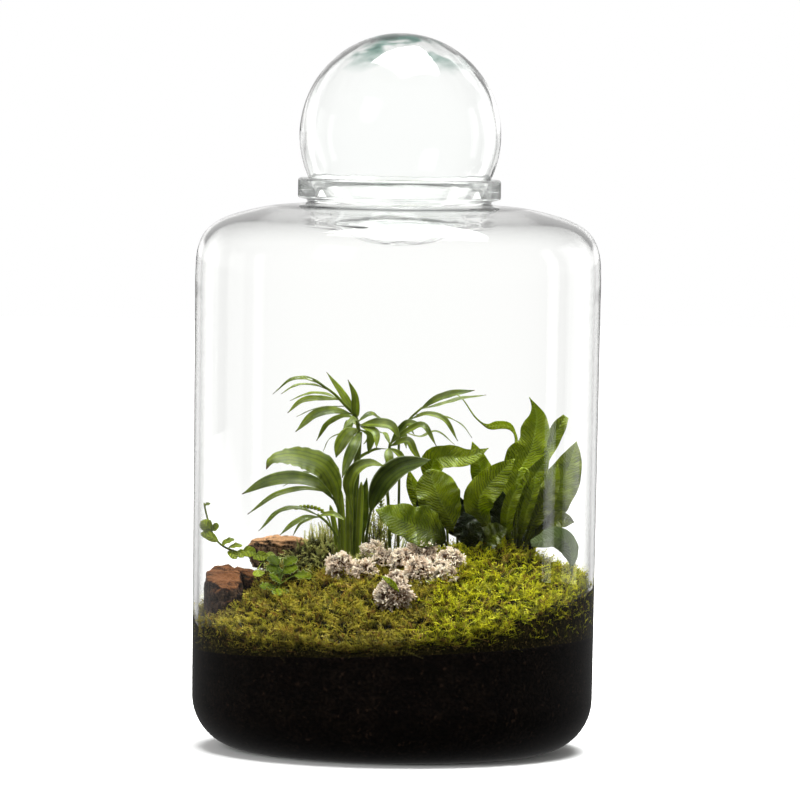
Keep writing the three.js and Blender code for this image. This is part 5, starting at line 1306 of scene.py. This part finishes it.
def make_lichen():
    for number, (x, y, z, radius) in enumerate(LICHEN_HEADS, 1):
        builder = Builder()
        centre = np.array([x, y, z + 0.05 * radius])
        reach = radius * (REACH if z > FRONT_BELOW else FRONT_REACH)
        count = int(1.35 * radius ** 2) // 1
        for i in range(count):
            rise = 1 - 1.5 * (i + 0.5) / count
            turn, flat = i * GOLDEN_TURN, math.sqrt(max(1 - rise ** 2, 0))
            way = np.array([flat * math.cos(turn), flat * math.sin(turn), rise]) + RANDOM.normal(0, 0.22, 3)
            way /= np.linalg.norm(way)
            start = centre + way * radius * RANDOM.uniform(0.4, 0.7)
            length, tint = radius * RANDOM.uniform(0.2, 0.38), RANDOM.uniform(0, 1)
            add_twig(builder, start, way, length, TWIG_RADIUS, 2, tint, reach, centre)
        builder.piece(f"fine_lichen_head_{number}", LICHEN, [f"lichen_head_{number}"], "lichen", smooth=False)


# Stage, lights, camera

# Brightness of the white surroundings, as light on the plants from the front and from the back
AMBIENT, AMBIENT_BACK = 0.34, 0.9
# Seen through both walls of the glass, straight on and aside, and through a solid rim, the same
SEEN_THROUGH, SEEN_ASIDE, STRAIGHT_RIM, THROUGH_RIM = 1.02, 1.9, 1.0, 0.25
# Mirrored: the bright sky, and the dim room off the outside, inside a wall with the light behind it
# or elsewhere, and deep in the jar. Rays inside a wall that go up lose the last share
SKY, ROOM_FIRST, ROOM_WALL, ROOM_INNER, ROOM_DEEP = 0.85, 0.08, 1.5, 0.2, 0.1
SHOULDER_DIMMING = 0.8
# The colour of the light on the plants, and of the surroundings in and through the glass
WARM_WHITE, SOFT_WHITE = rgb(1.0, 0.985, 0.965), rgb(1.0, 0.996, 0.99)
# How many faces of glass a ray has crossed when it has left both walls, and when it has gone far
BOTH_WALLS, FAR_INSIDE = 2.5, 4.5
WHITE = rgb(1.0, 1.0, 1.0)
CAMERA_DISTANCE, CAMERA_HEIGHT, AIM_X, AIM_Z, ROLL = 4.8, 0.505, 0.0027, 0.2587, 0.866
VIEW_WIDTH, SENSOR = 0.59256, 36.0


def make_camera():
    data = bpy.data.cameras.new("camera")
    camera = put_in_scene("camera", data)
    bpy.context.scene.camera = camera
    place, aim = Vector((AIM_X, -CAMERA_DISTANCE, CAMERA_HEIGHT)), Vector((AIM_X, 0.0, AIM_Z))
    turned = (aim - place).to_track_quat("-Z", "Y").to_matrix()
    turned = turned @ Matrix.Rotation(math.radians(ROLL), 3, "Z")
    camera.matrix_world = Matrix.Translation(place) @ turned.to_4x4()
    data.sensor_width = SENSOR
    data.lens = SENSOR * (aim - place).length / VIEW_WIDTH


def area_light(name, place, aim, width, height, radiance):
    data = bpy.data.lights.new(name, "AREA")
    data.shape, data.size, data.size_y = "RECTANGLE", width, height
    data.energy = radiance * math.pi * width * height
    light = put_in_scene(name, data)
    light.location = place
    light.rotation_mode = "QUATERNION"
    light.rotation_quaternion = (Vector(aim) - Vector(place)).to_track_quat("-Z", "Y")
    light.visible_camera = False
    return light


def path_level(m, behind, aside, upward, overhead):
    """How bright the white surroundings are for each kind of ray.

    behind is 1 for a ray to the back and -1 for one to the front. aside is 1 for a ray to either side,
    upward is 1 above the horizon, and overhead is 1 from about ten degrees above it.
    The camera sees them white, and so they are through both walls of the glass. Light that a solid rim
    bends to the side comes from a dark room, which draws the outline. Reflections see that room too,
    apart from those off the shoulder and the lip, which see the bright sky.
    """
    path = m.node("LightPath")
    crossed, mirrored = path.outputs["Transmission Depth"], path.outputs["Glossy Depth"]
    hollow = m.math("GREATER_THAN", crossed, BOTH_WALLS)
    rim = m.blend(m.ramp(aside, 0.25, 0.6), STRAIGHT_RIM, THROUGH_RIM)
    beyond = m.blend(m.ramp(aside, 0.075, 0.17), SEEN_THROUGH, SEEN_ASIDE)
    straight = m.blend(hollow, rim, beyond)
    first = m.blend(upward, ROOM_FIRST, SKY)
    wall = m.blend(m.ramp(behind, 0.8, 0.97), ROOM_INNER, ROOM_WALL)
    wall = m.times(wall, m.minus(1.0, m.times(overhead, SHOULDER_DIMMING)))
    far = m.math("MAXIMUM", m.ramp(behind, 0.3, 0.8), m.math("GREATER_THAN", crossed, FAR_INSIDE))
    inner = m.blend(hollow, wall, m.blend(far, ROOM_DEEP, SKY))
    bounced = m.blend(m.math("LESS_THAN", crossed, 0.5), inner, first)
    level = m.blend(m.math("GREATER_THAN", mirrored, 0.5), straight, bounced)
    lighting = m.blend(m.ramp(behind, -0.5, 0.7), AMBIENT, AMBIENT_BACK)
    level = m.blend(path.outputs["Is Diffuse Ray"], level, lighting)
    return m.blend(path.outputs["Is Camera Ray"], level, 1.0)


def make_world():
    """A white studio, brighter behind the jar than in front of it."""
    world = bpy.data.worlds.new("studio")
    bpy.context.scene.world = world
    w = Material(world)
    x, y, z = w.xyz(w.node("TexCoord").outputs["Generated"])
    level = path_level(w, y, w.math("ABSOLUTE", x), w.ramp(z, -0.005, 0.02), w.ramp(z, 0.1, 0.17))
    path = w.node("LightPath")
    tone = w.mix(path.outputs["Is Diffuse Ray"], SOFT_WHITE, WARM_WHITE)
    shell = w.node("Background", Color=tone, Strength=level).outputs[0]
    seen = w.node("Background", Color=WHITE, Strength=1.0).outputs[0]
    w.surface(w.shader_mix(path.outputs["Is Camera Ray"], shell, seen))


FLOOR_HALF, FLOOR_LEVEL = 8.0, -0.0002


def make_floor():
    """A white sheet that is as bright as the studio, except for the soft shadow round the foot, which is
    partly lit and partly painted where its glow fades out.
    """
    mesh = bpy.data.meshes.new("floor")
    corners = [(-1, -1), (1, -1), (1, 1), (-1, 1)]
    mesh.from_pydata([(x * FLOOR_HALF, y * FLOOR_HALF, FLOOR_LEVEL) for x, y in corners], [], [(0, 1, 2, 3)])
    floor = put_in_scene("floor", mesh)
    m = Material("floor")
    x, y, _ = m.xyz()
    away = m.node("VectorMath", operation="LENGTH", i0=m.stretched(1.0, 1.0, 0.0)).outputs["Value"]
    aside = m.math("DIVIDE", m.math("ABSOLUTE", x), away)
    level = path_level(m, m.math("DIVIDE", y, away), aside, 0.0, 0.0)
    face = m.node("BsdfDiffuse", Color=rgb(0.8, 0.8, 0.8)).outputs[0]
    # Painted shadow: the sheet's glow fades out toward the foot, which darkens the shadow there.
    glow_with_painted_shadow = m.node("Emission", Color=WHITE, Strength=m.times(m.ramp(away, 0.135, 0.25), 0.9)).outputs[0]
    near = m.node("AddShader", i0=face, i1=glow_with_painted_shadow).outputs[0]
    sheet = m.node("Emission", Color=SOFT_WHITE, Strength=level).outputs[0]
    mesh.materials.append(m.surface(m.shader_mix(m.node("LightPath").outputs["Is Camera Ray"], sheet, near)))


def make_lights():
    area_light("top_softbox", (0.14, 0.1, 2.0), (0, 0, 0.2), 1.2, 1.2, 25.0)
    area_light("left_softbox", (-1.3, -1.6, 1.5), (0, 0, 0.2), 0.8, 1.0, 9.0)
    for name, place, width, radiance in (
            ("right_strip", (1.55, 0.15, 0.3), 0.22, 2.6), ("right_panel", (1.4, 0.75, 0.3), 0.5, 0.9)):
        area_light(name, place, (0, 0, 0.2), width, 1.5, radiance).visible_diffuse = False


bpy.context.scene.view_settings.view_transform = "Standard"
make_camera()
make_world()
make_floor()
make_lights()
make_jar()
make_ball()
make_soil()
make_moss_ground()
make_moss_strands()
make_tall_moss()
make_stones()
make_lichen()
make_ferns()
make_palms()
make_creepers()
